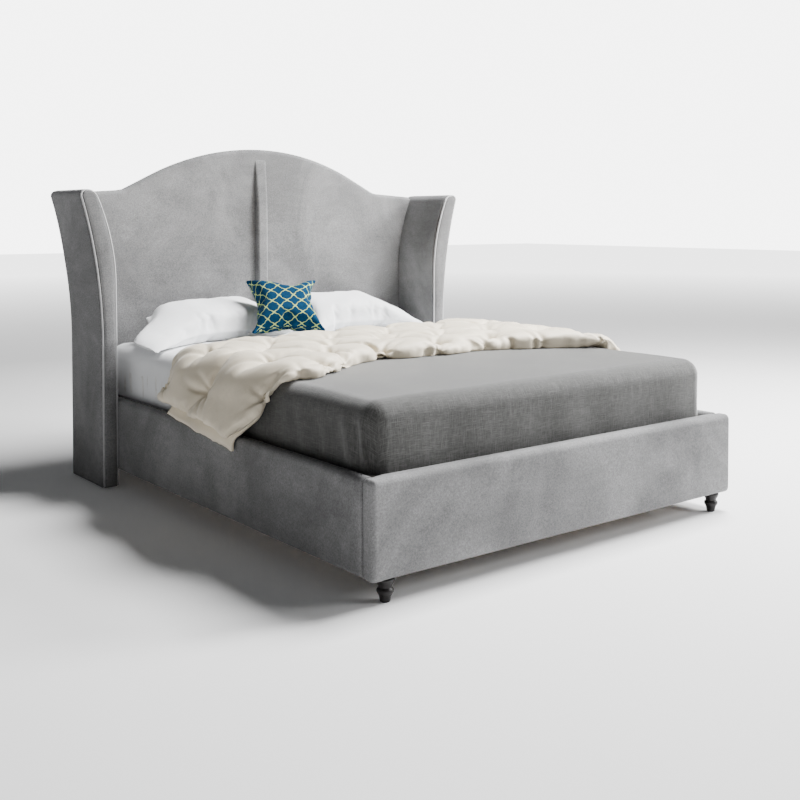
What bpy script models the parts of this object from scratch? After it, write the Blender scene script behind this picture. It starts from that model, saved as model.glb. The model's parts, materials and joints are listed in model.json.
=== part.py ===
"""Upholstered sleigh bed: winged camel-back headboard, padded rails, slatted base and its bedding.

Metres, +Z up. The foot end faces -Y and the headboard stands at +Y. The origin is on the floor under
the middle of the bed's bounding box.
"""

import math

import bmesh
import bpy
from mathutils import Matrix, Vector

# Gaps between pieces that touch.
GAP = 0.0003

# Overall plan: a 1.60 x 2.00 m mattress with a little room round it.
MATTRESS_WIDTH = 1.60
MATTRESS_LENGTH = 2.00
MATTRESS_DEPTH = 0.268
MATTRESS_ROUND = 0.045
INSIDE_WIDTH = 1.62
INSIDE_LENGTH = 2.039
FOOTBOARD_THICKNESS = 0.075
HEADBOARD_THICKNESS = 0.066
BED_LENGTH = FOOTBOARD_THICKNESS + INSIDE_LENGTH + HEADBOARD_THICKNESS
FOOT_Y = -BED_LENGTH / 2
HEAD_Y = BED_LENGTH / 2
INSIDE_FOOT_Y = FOOT_Y + FOOTBOARD_THICKNESS
INSIDE_HEAD_Y = HEAD_Y - HEADBOARD_THICKNESS
INSIDE_X = INSIDE_WIDTH / 2

# Rails and footboard.
RAIL_THICKNESS = 0.050
RAIL_X = INSIDE_X + RAIL_THICKNESS
RAIL_BOTTOM = 0.071
RAIL_TOP = 0.375
RAIL_BOARD_THICKNESS = 0.025
BOARD_BOTTOM = RAIL_BOTTOM + 0.013
BOARD_TOP = RAIL_TOP - 0.019
BOARD_END_MARGIN = 0.002
FOOTBOARD_PADDING = 0.016
RAIL_FOOT_Y = FOOT_Y + 0.060
PAD_ROUND = 0.017
FOOTBOARD_BOARD_SETBACK = 0.004

# Headboard outline: crown arc, straight shoulders, a hollow arc and a gentle fall to the wings.
CREST_Z = 1.472
SHOULDER_SLOPE = math.radians(27)
CROWN_RADIUS = 1.20
SHOULDER_END_X = 0.669
HOLLOW_RADIUS = 0.10
END_FALL = 0.065
HEADBOARD_BOTTOM = 0.045
HEADBOARD_SIDE_GAP = 0.0012
FRONT_PAD_THICKNESS = 0.024
BACK_COVER_THICKNESS = 0.006
RIB_WIDTH = 0.058
RIB_HEIGHT = 0.024
RIB_TOP = 1.425
RIB_BOTTOM = 0.60
RIB_ROUND = 0.016
HEADBOARD_PAD_ROUND = 0.008
PANEL_INSET = 0.012
PANEL_RAISE = 0.010
BACK_COVER_INSET = 0.002
BACK_COVER_RAISE = 0.004

# Wings: upright below, flaring outwards above.
WING_FRONT_Y = FOOT_Y + 1.819
WING_INNER_X = RAIL_X + GAP
WING_OUTER_X = 0.926
WING_TOP = 1.258
WING_BOTTOM = 0.006
WING_CORNER = 0.030
INNER_FLARE_START = 0.87
INNER_FLARE = 0.60
OUTER_FLARE_START = 0.60
OUTER_FLARE = 0.22
WING_PAD = 0.013
FACING_THICKNESS = 0.016
FACING_ROUND = 0.004
PIPING_RADIUS = 0.005
PIPING_RAISE = 0.004
CORE_RAISE = 0.003
FACING_RAISE = 0.002
HOLLOW_OVERRUN = 0.02
GLIDE_HALF_WIDTH = 0.018
GLIDE_HALF_LENGTH = 0.150
GLIDE_BEVEL = 0.0015

# Turned feet.
FOOT_INSET_X = 0.070
FOOT_INSET_Y = 0.036
FOOT_HEIGHT = RAIL_BOTTOM - GAP
HANGER_BOLT_RADIUS = 0.004
HANGER_BOLT_RISE = 0.045
HANGER_BOLT_DEPTH = 0.030

# Slatted base.
SLAT_COUNT = 12
SLAT_WIDTH = 0.080
SLAT_THICKNESS = 0.018
SLAT_TOP = 0.3133
LEDGE_WIDTH = 0.025
LEDGE_HEIGHT = 0.030
CENTRE_RAIL_WIDTH = 0.045
CENTRE_RAIL_HEIGHT = 0.070
CENTRE_LEG_SIDE = 0.040
BASE_END_GAP = 0.004
SLAT_END_GAP = 0.002
LEDGE_BEVEL = 0.002
TIMBER_BEVEL = 0.003

# Steel corner brackets and bolts.
BRACKET_LEG = 0.060
BRACKET_PLATE = 0.003
BRACKET_BOTTOM = 0.120
BRACKET_HEIGHT = 0.110
BOLT_RADIUS = 0.004
BOLT_HEAD_RADIUS = 0.0075
BOLT_HEAD_HEIGHT = 0.005
BOLT_CLEARANCE = 0.0004
BORE_OVERRUN = 0.001
CORNER_BOLT_X = 0.036
CORNER_BOLT_REACH = 0.034
WING_BOLT_REACH = 0.064
WING_BOLT_START = 0.030
WING_BOLT_Y = INSIDE_HEAD_Y + FRONT_PAD_THICKNESS + 0.017

# Bedding.
SHEET_THICKNESS = 0.0015
COVERLET_THICKNESS = 0.004
SHEET_EDGE_RAISE = 0.004
COVERLET_EDGE_RAISE = 0.001
COMFORTER_THICKNESS = 0.048
COMFORTER_REAR_Y = FOOT_Y + 1.475
COMFORTER_FRONT_Y = FOOT_Y + 0.80
COMFORTER_FRONT_X = -0.15
COMFORTER_DROP = 0.036
COMFORTER_CLEARANCE = 0.0035
COMFORTER_BEND = 0.006
COMFORTER_SWAG = 0.110
COMFORTER_FLAT_X = 0.30
COMFORTER_LEFT_SWEEP = (0.22, 0.6)
COMFORTER_RIGHT_SWEEP = (0.24, 0.9)
MATTRESS_FOOT_Y = INSIDE_FOOT_Y + 0.010
MATTRESS_BASE = SLAT_TOP + GAP
MATTRESS_TOP = MATTRESS_BASE + MATTRESS_DEPTH
SHEET_TOP = MATTRESS_TOP + GAP + SHEET_THICKNESS
COVERLET_TOP = SHEET_TOP + GAP + COVERLET_THICKNESS
COVERLET_HEAD_Y = FOOT_Y + 1.35
PILLOW_SIZE = (0.68, 0.36, 0.125)
PILLOW_TILT = math.radians(15)
LEFT_PILLOW_X = -0.405
RIGHT_PILLOW_X = 0.385
LEFT_PILLOW_TURN = math.radians(11)
CUSHION_SIZE = (0.355, 0.355, 0.100)
CUSHION_TILT = math.radians(40)
CUSHION_TURN = math.radians(-23)
CUSHION_PLACE = (-0.095, 0.645, 0.735)

BED = bpy.data.collections.new("sleigh_bed")
CUTTERS = bpy.data.collections.new("cutters")


# --- tools ---------------------------------------------------------------------------------------

def clear_scene():
    """Remove the objects that are already in the scene."""
    for item in list(bpy.data.objects):
        bpy.data.objects.remove(item, do_unlink=True)


def material(name, colour, roughness, metallic=0.0):
    """Return a Principled BSDF material."""
    result = bpy.data.materials.new(name)
    result.use_nodes = True
    shader = result.node_tree.nodes["Principled BSDF"]
    shader.inputs["Base Color"].default_value = (*colour, 1.0)
    shader.inputs["Roughness"].default_value = roughness
    shader.inputs["Metallic"].default_value = metallic
    result.diffuse_color = (*colour, 1.0)
    return result


def add_object(name, data, finish, collection=None):
    """Link new object data into the bed's collection."""
    thing = bpy.data.objects.new(name, data)
    (collection or BED).objects.link(thing)
    if finish is not None:
        data.materials.append(finish)
    return thing


def mesh_object(name, shape, finish, collection=None):
    """Turn a bmesh into a named object."""
    data = bpy.data.meshes.new(name)
    shape.to_mesh(data)
    shape.free()
    return add_object(name, data, finish, collection)


def add_bevel(thing, width, segments=2, angle=35):
    """Round the edges that are sharper than an angle."""
    bevel = thing.modifiers.new("round", "BEVEL")
    bevel.width = width
    bevel.segments = segments
    bevel.limit_method = "ANGLE"
    bevel.angle_limit = math.radians(angle)
    bevel.use_clamp_overlap = True
    return bevel


def box_shape(low, high):
    """A box as a bmesh, from its lowest corner to its highest."""
    shape = bmesh.new()
    low = Vector(low)
    high = Vector(high)
    size = high - low
    place = Matrix.Translation((low + high) / 2) @ Matrix.Diagonal((*size, 1.0))
    bmesh.ops.create_cube(shape, size=1.0, matrix=place)
    return shape


def box(name, low, high, finish, bevel=0.0, segments=2):
    """A box, with rounded edges where a bevel is given."""
    thing = mesh_object(name, box_shape(low, high), finish)
    if bevel:
        add_bevel(thing, bevel, segments)
    return thing


def smooth(thing, angle=40):
    """Shade round faces smooth and keep real edges sharp."""
    thing.data.shade_smooth()
    thing.data.set_sharp_from_angle(angle=math.radians(angle))


def made_mesh(curve_object):
    """Replace a curve object with the closed mesh of its evaluated shape."""
    bpy.context.view_layer.update()
    graph = bpy.context.evaluated_depsgraph_get()
    data = bpy.data.meshes.new_from_object(curve_object.evaluated_get(graph), depsgraph=graph)
    name = curve_object.name
    place = curve_object.matrix_world.copy()
    homes = list(curve_object.users_collection)
    bpy.data.objects.remove(curve_object, do_unlink=True)
    shape = bmesh.new()
    shape.from_mesh(data)
    bmesh.ops.remove_doubles(shape, verts=shape.verts, dist=0.00005)
    bmesh.ops.recalc_face_normals(shape, faces=shape.faces)
    shape.to_mesh(data)
    shape.free()
    data.name = name
    thing = bpy.data.objects.new(name, data)
    thing.matrix_world = place
    homes[0].objects.link(thing)
    return thing


def flat_curve(name, outline, thickness, finish, collection=None):
    """A filled flat outline with a thickness, lying in its own XY plane."""
    data = bpy.data.curves.new(name, "CURVE")
    data.dimensions = "2D"
    data.fill_mode = "BOTH"
    data.extrude = thickness / 2
    spline = data.splines.new("POLY")
    spline.points.add(len(outline) - 1)
    for point, (across, up) in zip(spline.points, outline):
        point.co = (across, up, 0.0, 1.0)
    spline.use_cyclic_u = True
    return add_object(name, data, finish, collection)


def upright_panel(name, outline, front_y, back_y, finish, collection=None):
    """A panel whose outline is drawn across X and up Z, between two Y planes."""
    thing = flat_curve(name, outline, back_y - front_y, finish, collection)
    thing.rotation_euler = (math.pi / 2, 0.0, 0.0)
    thing.location = (0.0, (front_y + back_y) / 2, 0.0)
    return made_mesh(thing)


def turned(name, profile, place, finish, rotation=(0.0, 0.0, 0.0), steps=24, collection=None):
    """A turned piece: its profile runs down the outer side as (radius, height) pairs."""
    shape = bmesh.new()
    verts = [shape.verts.new((radius, 0.0, height)) for radius, height in profile]
    for first, second in zip(verts, verts[1:]):
        shape.edges.new((first, second))
    thing = mesh_object(name, shape, finish, collection)
    screw = thing.modifiers.new("turn", "SCREW")
    screw.axis = "Z"
    screw.angle = math.tau
    screw.steps = steps
    screw.render_steps = steps
    screw.use_merge_vertices = True
    screw.merge_threshold = 0.00005
    screw.use_smooth_shade = True
    thing.rotation_euler = rotation
    thing.location = place
    return thing


def tube(name, points, radius, finish):
    """A round cord along a list of points."""
    data = bpy.data.curves.new(name, "CURVE")
    data.dimensions = "3D"
    data.bevel_depth = radius
    data.bevel_resolution = 2
    data.use_fill_caps = True
    spline = data.splines.new("POLY")
    spline.points.add(len(points) - 1)
    for point, place in zip(spline.points, points):
        point.co = (*place, 1.0)
    return made_mesh(add_object(name, data, finish))


def cut(thing, cutter):
    """Take a cutter's shape out of a piece."""
    cutter.hide_render = True
    cutter.display_type = "WIRE"
    boolean = thing.modifiers.new("cut", "BOOLEAN")
    boolean.operation = "DIFFERENCE"
    boolean.solver = "EXACT"
    boolean.object = cutter


def box_cutter(name, low, high):
    """A box that cuts."""
    return mesh_object(name, box_shape(low, high), None, CUTTERS)


# --- outlines ------------------------------------------------------------------------------------

def inner_edge(height):
    """Where a wing's inner face stands across the bed at a height."""
    return WING_INNER_X + INNER_FLARE * max(0.0, height - INNER_FLARE_START) ** 2


def outer_edge(height):
    """Where a wing's outer face stands across the bed at a height."""
    return WING_OUTER_X + OUTER_FLARE * max(0.0, height - OUTER_FLARE_START) ** 2


def flare_heights(start, end, steps):
    """Even heights from the start of a flare to its end."""
    return [start + (end - start) * step / steps for step in range(steps + 1)]


def crown_height(across):
    """The headboard's top edge: crown arc, straight shoulder, hollow arc, gently falling end."""
    away = abs(across)
    crown_end = CROWN_RADIUS * math.sin(SHOULDER_SLOPE)
    if away <= crown_end:
        return CREST_Z - CROWN_RADIUS + math.sqrt(CROWN_RADIUS ** 2 - away ** 2)
    top_of_shoulder = CREST_Z - CROWN_RADIUS * (1 - math.cos(SHOULDER_SLOPE))
    along = min(away, SHOULDER_END_X) - crown_end
    height = top_of_shoulder - along * math.tan(SHOULDER_SLOPE)
    hollow_run = HOLLOW_RADIUS * math.sin(SHOULDER_SLOPE)
    into = min(max(0.0, away - SHOULDER_END_X), hollow_run)
    left_in_arc = hollow_run - into
    bottom = HOLLOW_RADIUS * (1 - math.cos(SHOULDER_SLOPE))
    rise = HOLLOW_RADIUS - math.sqrt(HOLLOW_RADIUS ** 2 - left_in_arc ** 2)
    fall = END_FALL * max(0.0, away - SHOULDER_END_X)
    return height - (bottom - rise) - fall


def headboard_outline(inset, bottom):
    """The headboard's outline between the wings, as points across and up."""
    side_heights = [bottom, *flare_heights(INNER_FLARE_START, WING_TOP - WING_CORNER, 6)]
    right = [(inner_edge(height) - HEADBOARD_SIDE_GAP - inset, height) for height in side_heights]
    right.append((right[-1][0], crown_height(right[-1][0]) - inset))
    end = right[-1][0]
    top_steps = 30
    top = []
    for step in range(1, top_steps):
        across = end - 2 * end * step / top_steps
        top.append((across, crown_height(across) - inset))
    left = [(-across, height) for across, height in reversed(right)]
    return right + top + left


def wing_outline(side, inset, bottom):
    """A wing's outline across and up, pulled in by an inset, for the side +1 or -1."""
    corner = WING_CORNER - inset * 0.6
    spring = WING_TOP - inset - corner
    inner_heights = [bottom, *flare_heights(INNER_FLARE_START, spring, 6)]
    outer_heights = [bottom, *flare_heights(OUTER_FLARE_START, spring, 8)]
    inner = [(inner_edge(height) + inset, height) for height in inner_heights]
    outer = [(outer_edge(height) - inset, height) for height in reversed(outer_heights)]
    arch = []
    arc_steps = 4
    for step in range(1, arc_steps):
        turn = math.pi / 2 * step / arc_steps
        arch.append((inner[-1][0] + corner * (1 - math.cos(turn)), spring + corner * math.sin(turn)))
    arch.append((inner[-1][0] + corner, spring + corner))
    arch.append((outer[0][0] - corner, spring + corner))
    for step in range(1, arc_steps):
        turn = math.pi / 2 * (1 - step / arc_steps)
        arch.append((outer[0][0] - corner * (1 - math.cos(turn)), spring + corner * math.sin(turn)))
    points = inner + arch + outer
    return [(side * across, up) for across, up in points]


# --- headboard and wings -------------------------------------------------------------------------

def make_headboard(fabric, wood, dust_cloth):
    """Plywood panel, padded front, thin rear cover and the raised rib down the middle."""
    front = INSIDE_HEAD_Y
    panel_front = front + FRONT_PAD_THICKNESS + GAP
    panel_back = HEAD_Y - BACK_COVER_THICKNESS - GAP
    pad = upright_panel("headboard_front_pad", headboard_outline(0.0, HEADBOARD_BOTTOM), front,
                        front + FRONT_PAD_THICKNESS, fabric)
    add_bevel(pad, HEADBOARD_PAD_ROUND)
    upright_panel("headboard_panel", headboard_outline(PANEL_INSET, HEADBOARD_BOTTOM + PANEL_RAISE),
                  panel_front, panel_back, wood)
    upright_panel("headboard_back_cover",
                  headboard_outline(BACK_COVER_INSET, HEADBOARD_BOTTOM + BACK_COVER_RAISE),
                  HEAD_Y - BACK_COVER_THICKNESS, HEAD_Y, dust_cloth)
    rib = box("headboard_rib", (-RIB_WIDTH / 2, front - RIB_HEIGHT, RIB_BOTTOM),
              (RIB_WIDTH / 2, front - GAP, RIB_TOP), fabric)
    add_bevel(rib, RIB_ROUND, 3)


def make_wing(side_name, side, fabric, piping, wood, plastic):
    """One wing: timber core, padded cover, front facing, piping, glide."""
    cover_front = WING_FRONT_Y + FACING_THICKNESS + GAP
    cover = upright_panel(f"wing_{side_name}_cover", wing_outline(side, 0.0, WING_BOTTOM), cover_front,
                          HEAD_Y, fabric)
    hollow = upright_panel(f"wing_{side_name}_hollow", wing_outline(side, WING_PAD - GAP, 0.0),
                           cover_front - HOLLOW_OVERRUN, HEAD_Y - WING_PAD + GAP, None, CUTTERS)
    core = upright_panel(f"wing_{side_name}_core", wing_outline(side, WING_PAD, WING_BOTTOM + CORE_RAISE),
                         cover_front, HEAD_Y - WING_PAD, wood)
    cut(cover, hollow)
    facing = upright_panel(f"wing_{side_name}_facing",
                           wing_outline(side, 2 * PIPING_RADIUS + 2 * GAP, WING_BOTTOM + FACING_RAISE),
                           WING_FRONT_Y, WING_FRONT_Y + FACING_THICKNESS, fabric)
    add_bevel(facing, FACING_ROUND)
    path_y = WING_FRONT_Y + FACING_THICKNESS - PIPING_RADIUS - GAP
    route = wing_outline(side, PIPING_RADIUS, WING_BOTTOM + PIPING_RAISE)
    tube(f"wing_{side_name}_piping", [(across, path_y, up) for across, up in route], PIPING_RADIUS,
         piping)
    glide_x = side * (WING_INNER_X + WING_OUTER_X) / 2
    glide_y = (WING_FRONT_Y + HEAD_Y) / 2
    box(f"wing_{side_name}_glide", (glide_x - GLIDE_HALF_WIDTH, glide_y - GLIDE_HALF_LENGTH, 0.0),
        (glide_x + GLIDE_HALF_WIDTH, glide_y + GLIDE_HALF_LENGTH, WING_BOTTOM - GAP), plastic,
        GLIDE_BEVEL, 1)
    return cover, core


def make_bolt(name, place, direction, reach, steel):
    """A hexagon socket bolt whose head's underside is at a place and whose shank runs along a direction."""
    profile = [
        (0.0, BOLT_HEAD_HEIGHT),
        (BOLT_HEAD_RADIUS, BOLT_HEAD_HEIGHT),
        (BOLT_HEAD_RADIUS, 0.0),
        (BOLT_RADIUS, 0.0),
        (BOLT_RADIUS, -reach),
        (0.0, -reach),
    ]
    turn = Vector((0.0, 0.0, -1.0)).rotation_difference(Vector(direction)).to_euler()
    return turned(name, profile, place, steel, turn, 12)


def drill(name, place, direction, depth, radius, pieces):
    """Drill one straight hole from a place along a direction through several pieces."""
    profile = [(0.0, BORE_OVERRUN), (radius, BORE_OVERRUN), (radius, -depth), (0.0, -depth)]
    turn = Vector((0.0, 0.0, -1.0)).rotation_difference(Vector(direction)).to_euler()
    cutter = turned(name, profile, place, None, turn, 12, CUTTERS)
    for piece in pieces:
        cut(piece, cutter)


# --- rails, footboard, feet ----------------------------------------------------------------------

def make_side_rail(side_name, side, fabric, wood):
    """A side rail: timber board in a padded cover that is open at both ends."""
    low_x, high_x = sorted((side * INSIDE_X, side * RAIL_X))
    middle = (low_x + high_x) / 2
    end = INSIDE_HEAD_Y
    cover = box(f"side_rail_{side_name}_cover", (low_x, RAIL_FOOT_Y, RAIL_BOTTOM),
                (high_x, end - GAP, RAIL_TOP), fabric, PAD_ROUND, 3)
    half = RAIL_BOARD_THICKNESS / 2
    hollow = box_cutter(f"side_rail_{side_name}_hollow",
                        (middle - half - GAP, RAIL_FOOT_Y - RAIL_THICKNESS, BOARD_BOTTOM - GAP),
                        (middle + half + GAP, end + RAIL_THICKNESS, BOARD_TOP + GAP))
    cut(cover, hollow)
    box(f"side_rail_{side_name}_board", (middle - half, RAIL_FOOT_Y + BOARD_END_MARGIN, BOARD_BOTTOM),
        (middle + half, end - BOARD_END_MARGIN, BOARD_TOP), wood)


def make_footboard(fabric, wood):
    """The footboard: full-width padded face in front of the rails, timber board inside."""
    cover = box("footboard_cover", (-RAIL_X, FOOT_Y, RAIL_BOTTOM),
                (RAIL_X, INSIDE_FOOT_Y, RAIL_TOP), fabric, PAD_ROUND, 3)
    for side_name, side in (("left", -1), ("right", 1)):
        low_x, high_x = sorted((side * (INSIDE_X - GAP), side * (RAIL_X + RAIL_THICKNESS)))
        notch = box_cutter(f"footboard_notch_{side_name}", (low_x, RAIL_FOOT_Y - GAP, 0.0),
                           (high_x, INSIDE_FOOT_Y + RAIL_THICKNESS, RAIL_TOP + RAIL_THICKNESS))
        cut(cover, notch)
    board_front = FOOT_Y + FOOTBOARD_PADDING
    board_back = RAIL_FOOT_Y - FOOTBOARD_BOARD_SETBACK
    board_x = RAIL_X - FOOTBOARD_PADDING
    channel = box_cutter("footboard_channel", (-board_x - GAP, board_front - GAP, 0.0),
                         (board_x + GAP, board_back + GAP, BOARD_TOP + GAP))
    cut(cover, channel)
    board = box("footboard_board", (-board_x, board_front, BOARD_BOTTOM),
                (board_x, board_back, BOARD_TOP), wood)
    return cover, board


def make_foot(side_name, side, dark_wood, steel, board):
    """A turned foot: flared cup, waist, bead and a small flat toe, on its hanger bolt."""
    place = (side * (RAIL_X - FOOT_INSET_X), FOOT_Y + FOOT_INSET_Y, 0.0)
    top = FOOT_HEIGHT
    profile = [
        (0.0, top),
        (0.0290, top),
        (0.0293, top - 0.0050),
        (0.0270, top - 0.0110),
        (0.0222, top - 0.0190),
        (0.0205, top - 0.0260),
        (0.0225, top - 0.0290),
        (0.0250, top - 0.0320),
        (0.0262, top - 0.0370),
        (0.0250, top - 0.0420),
        (0.0215, top - 0.0470),
        (0.0185, top - 0.0540),
        (0.0165, top - 0.0620),
        (0.0160, 0.0015),
        (0.0150, 0.0),
        (0.0, 0.0),
    ]
    foot = turned(f"foot_{side_name}", profile, place, dark_wood, steps=24)
    bolt_bottom = top - HANGER_BOLT_DEPTH
    bolt_top = BOARD_BOTTOM + HANGER_BOLT_RISE
    bolt_profile = [
        (0.0, bolt_top),
        (HANGER_BOLT_RADIUS, bolt_top),
        (HANGER_BOLT_RADIUS, bolt_bottom),
        (0.0, bolt_bottom),
    ]
    turned(f"foot_bolt_{side_name}", bolt_profile, place, steel, steps=12)
    radius = HANGER_BOLT_RADIUS + BOLT_CLEARANCE
    bore = [
        (0.0, bolt_top + BORE_OVERRUN),
        (radius, bolt_top + BORE_OVERRUN),
        (radius, bolt_bottom - BORE_OVERRUN),
        (0.0, bolt_bottom - BORE_OVERRUN),
    ]
    cutter = turned(f"foot_bore_{side_name}", bore, place, None, steps=12, collection=CUTTERS)
    cut(foot, cutter)
    cut(board, cutter)


# --- brackets ------------------------------------------------------------------------------------

def make_corner(side_name, side, end_name, face_y, inward, steel, drilled):
    """A steel angle in a corner of the frame, with the bolt that holds it to the end panel."""
    corner_x = side * (INSIDE_X - GAP)
    corner_y = face_y + inward * GAP
    steps = [
        (0.0, 0.0), (BRACKET_LEG, 0.0), (BRACKET_LEG, BRACKET_PLATE), (BRACKET_PLATE, BRACKET_PLATE),
        (BRACKET_PLATE, BRACKET_LEG), (0.0, BRACKET_LEG),
    ]
    outline = [(corner_x - side * along, corner_y + inward * out) for along, out in steps]
    bracket = flat_curve(f"corner_bracket_{end_name}_{side_name}", outline, BRACKET_HEIGHT, steel)
    bracket.location = (0.0, 0.0, BRACKET_BOTTOM + BRACKET_HEIGHT / 2)
    bracket = made_mesh(bracket)
    seat = (corner_x - side * CORNER_BOLT_X, corner_y + inward * (BRACKET_PLATE + GAP),
            BRACKET_BOTTOM + BRACKET_HEIGHT / 2)
    direction = (0.0, -inward, 0.0)
    make_bolt(f"corner_bolt_{end_name}_{side_name}", seat, direction, CORNER_BOLT_REACH, steel)
    drill(f"corner_bore_{end_name}_{side_name}", seat, direction, CORNER_BOLT_REACH + BORE_OVERRUN,
          BOLT_RADIUS + BOLT_CLEARANCE, [bracket, *drilled])


def make_wing_bolt(name, side, height, steel, drilled):
    """A bolt from inside the headboard panel's edge outwards into a wing's core."""
    start = (side * (inner_edge(height) - WING_BOLT_START), WING_BOLT_Y, height)
    reach = WING_BOLT_REACH
    profile = [(0.0, 0.0), (BOLT_RADIUS, 0.0), (BOLT_RADIUS, -reach), (0.0, -reach)]
    turn = Vector((0.0, 0.0, -1.0)).rotation_difference(Vector((side, 0.0, 0.0))).to_euler()
    turned(name, profile, start, steel, turn, 12)
    wide = BOLT_RADIUS + BOLT_CLEARANCE
    far = -reach - BORE_OVERRUN
    hole = [(0.0, BORE_OVERRUN), (wide, BORE_OVERRUN), (wide, far), (0.0, far)]
    cutter = turned(name + "_bore", hole, start, None, turn, 12, CUTTERS)
    for piece in drilled:
        cut(piece, cutter)


# --- slatted base --------------------------------------------------------------------------------

def make_base(pine, steel_grey):
    """Ledges on the rails, twelve slats, the centre rail and its two legs."""
    ledge_top = SLAT_TOP - SLAT_THICKNESS - GAP
    start = INSIDE_FOOT_Y + BASE_END_GAP
    end = INSIDE_HEAD_Y - BASE_END_GAP
    for side_name, side in (("left", -1), ("right", 1)):
        low_x, high_x = sorted((side * (INSIDE_X - GAP), side * (INSIDE_X - GAP - LEDGE_WIDTH)))
        box(f"slat_ledge_{side_name}", (low_x, start, ledge_top - LEDGE_HEIGHT), (high_x, end, ledge_top),
            pine, LEDGE_BEVEL, 1)
    half = CENTRE_RAIL_WIDTH / 2
    box("centre_rail", (-half, start, ledge_top - CENTRE_RAIL_HEIGHT), (half, end, ledge_top), pine,
        TIMBER_BEVEL, 1)
    leg = CENTRE_LEG_SIDE / 2
    for leg_name, leg_y in (("foot_end", FOOT_Y + BED_LENGTH / 3), ("head_end", FOOT_Y + 2 * BED_LENGTH / 3)):
        box(f"centre_leg_{leg_name}", (-leg, leg_y - leg, 0.0),
            (leg, leg_y + leg, ledge_top - CENTRE_RAIL_HEIGHT - GAP), steel_grey, TIMBER_BEVEL, 1)
    pitch = (end - start - SLAT_WIDTH) / (SLAT_COUNT - 1)
    for index in range(SLAT_COUNT):
        low_y = start + pitch * index
        box(f"slat_{index + 1:02d}", (-INSIDE_X + SLAT_END_GAP, low_y, SLAT_TOP - SLAT_THICKNESS),
            (INSIDE_X - SLAT_END_GAP, low_y + SLAT_WIDTH, SLAT_TOP), pine, TIMBER_BEVEL, 1)


# --- bedding -------------------------------------------------------------------------------------

def make_mattress(ticking):
    """The mattress: a rounded block on the slats."""
    thing = box("mattress", (-MATTRESS_WIDTH / 2, MATTRESS_FOOT_Y, MATTRESS_BASE),
                (MATTRESS_WIDTH / 2, MATTRESS_FOOT_Y + MATTRESS_LENGTH, MATTRESS_TOP), ticking)
    add_bevel(thing, MATTRESS_ROUND, 3)


def cover_shell(name, low, high, rounding, thickness, open_normals, finish):
    """A cloth cover: a box with some faces left open, rounded and thickened outwards."""
    shape = box_shape(low, high)
    gone = []
    for face in shape.faces:
        for normal in open_normals:
            if face.normal.dot(Vector(normal)) > 0.9:
                gone.append(face)
    bmesh.ops.delete(shape, geom=gone, context="FACES")
    thing = mesh_object(name, shape, finish)
    add_bevel(thing, rounding, 3)
    solid = thing.modifiers.new("thickness", "SOLIDIFY")
    solid.thickness = thickness
    solid.offset = 1.0
    solid.use_even_offset = True


def make_covers(white, charcoal):
    """The fitted sheet over the mattress and the coverlet over its foot part."""
    half = MATTRESS_WIDTH / 2 + GAP
    foot = MATTRESS_FOOT_Y - GAP
    head = MATTRESS_FOOT_Y + MATTRESS_LENGTH + GAP
    low_edge = MATTRESS_BASE + MATTRESS_ROUND + SHEET_EDGE_RAISE
    cover_shell("fitted_sheet", (-half, foot, low_edge), (half, head, MATTRESS_TOP + GAP),
                MATTRESS_ROUND + GAP, SHEET_THICKNESS, [(0, 0, -1)], white)
    grow = SHEET_THICKNESS + GAP
    cover_shell("coverlet", (-half - grow, foot - grow, low_edge + COVERLET_EDGE_RAISE),
                (half + grow, COVERLET_HEAD_Y, SHEET_TOP + GAP), MATTRESS_ROUND + GAP + grow,
                COVERLET_THICKNESS, [(0, 0, -1), (0, 1, 0)], charcoal)


def comforter_section():
    """The comforter's underside across the bed: down over the rail, up the mattress, over and down."""
    side_x = MATTRESS_WIDTH / 2 + SHEET_THICKNESS + COVERLET_THICKNESS + 4 * GAP
    top = COVERLET_TOP + GAP
    outside = RAIL_X + COMFORTER_CLEARANCE
    half = [
        (outside, RAIL_TOP - COMFORTER_DROP),
        (outside, RAIL_TOP + 0.001),
        (outside - COMFORTER_BEND, RAIL_TOP + COMFORTER_BEND + 0.001),
        (side_x + COMFORTER_BEND, RAIL_TOP + COMFORTER_SWAG),
        (side_x + 0.001, top - MATTRESS_ROUND),
    ]
    steps = 3
    for step in range(1, steps + 1):
        turn = math.pi / 2 * step / steps
        half.append((side_x - MATTRESS_ROUND * (1 - math.cos(turn)),
                     top - MATTRESS_ROUND * (1 - math.sin(turn))))
    half.append((side_x - COMFORTER_FLAT_X, top))
    left = [(-across, up) for across, up in half]
    return left + [(0.0, top)] + list(reversed(half))


def comforter_front(across):
    """How far up the bed the comforter's front edge lies, across the bed."""
    if across < COMFORTER_FRONT_X:
        sweep, reach = COMFORTER_LEFT_SWEEP
    else:
        sweep, reach = COMFORTER_RIGHT_SWEEP
    return COMFORTER_FRONT_Y - sweep * min(1.0, abs(across - COMFORTER_FRONT_X) / reach)


def make_comforter(cream):
    """The comforter laid across the bed, hanging over both rails."""
    section = comforter_section()
    rows = 5
    shape = bmesh.new()
    grid = []
    for across, up in section:
        front = comforter_front(across)
        line = []
        for row in range(rows + 1):
            along = front + (COMFORTER_REAR_Y - front) * row / rows
            line.append(shape.verts.new((across, along, up)))
        grid.append(line)
    for first, second in zip(grid, grid[1:]):
        for row in range(rows):
            shape.faces.new((first[row], second[row], second[row + 1], first[row + 1]))
    thing = mesh_object("comforter", shape, cream)
    solid = thing.modifiers.new("thickness", "SOLIDIFY")
    solid.thickness = COMFORTER_THICKNESS
    solid.offset = 1.0
    solid.use_even_offset = True


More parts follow.
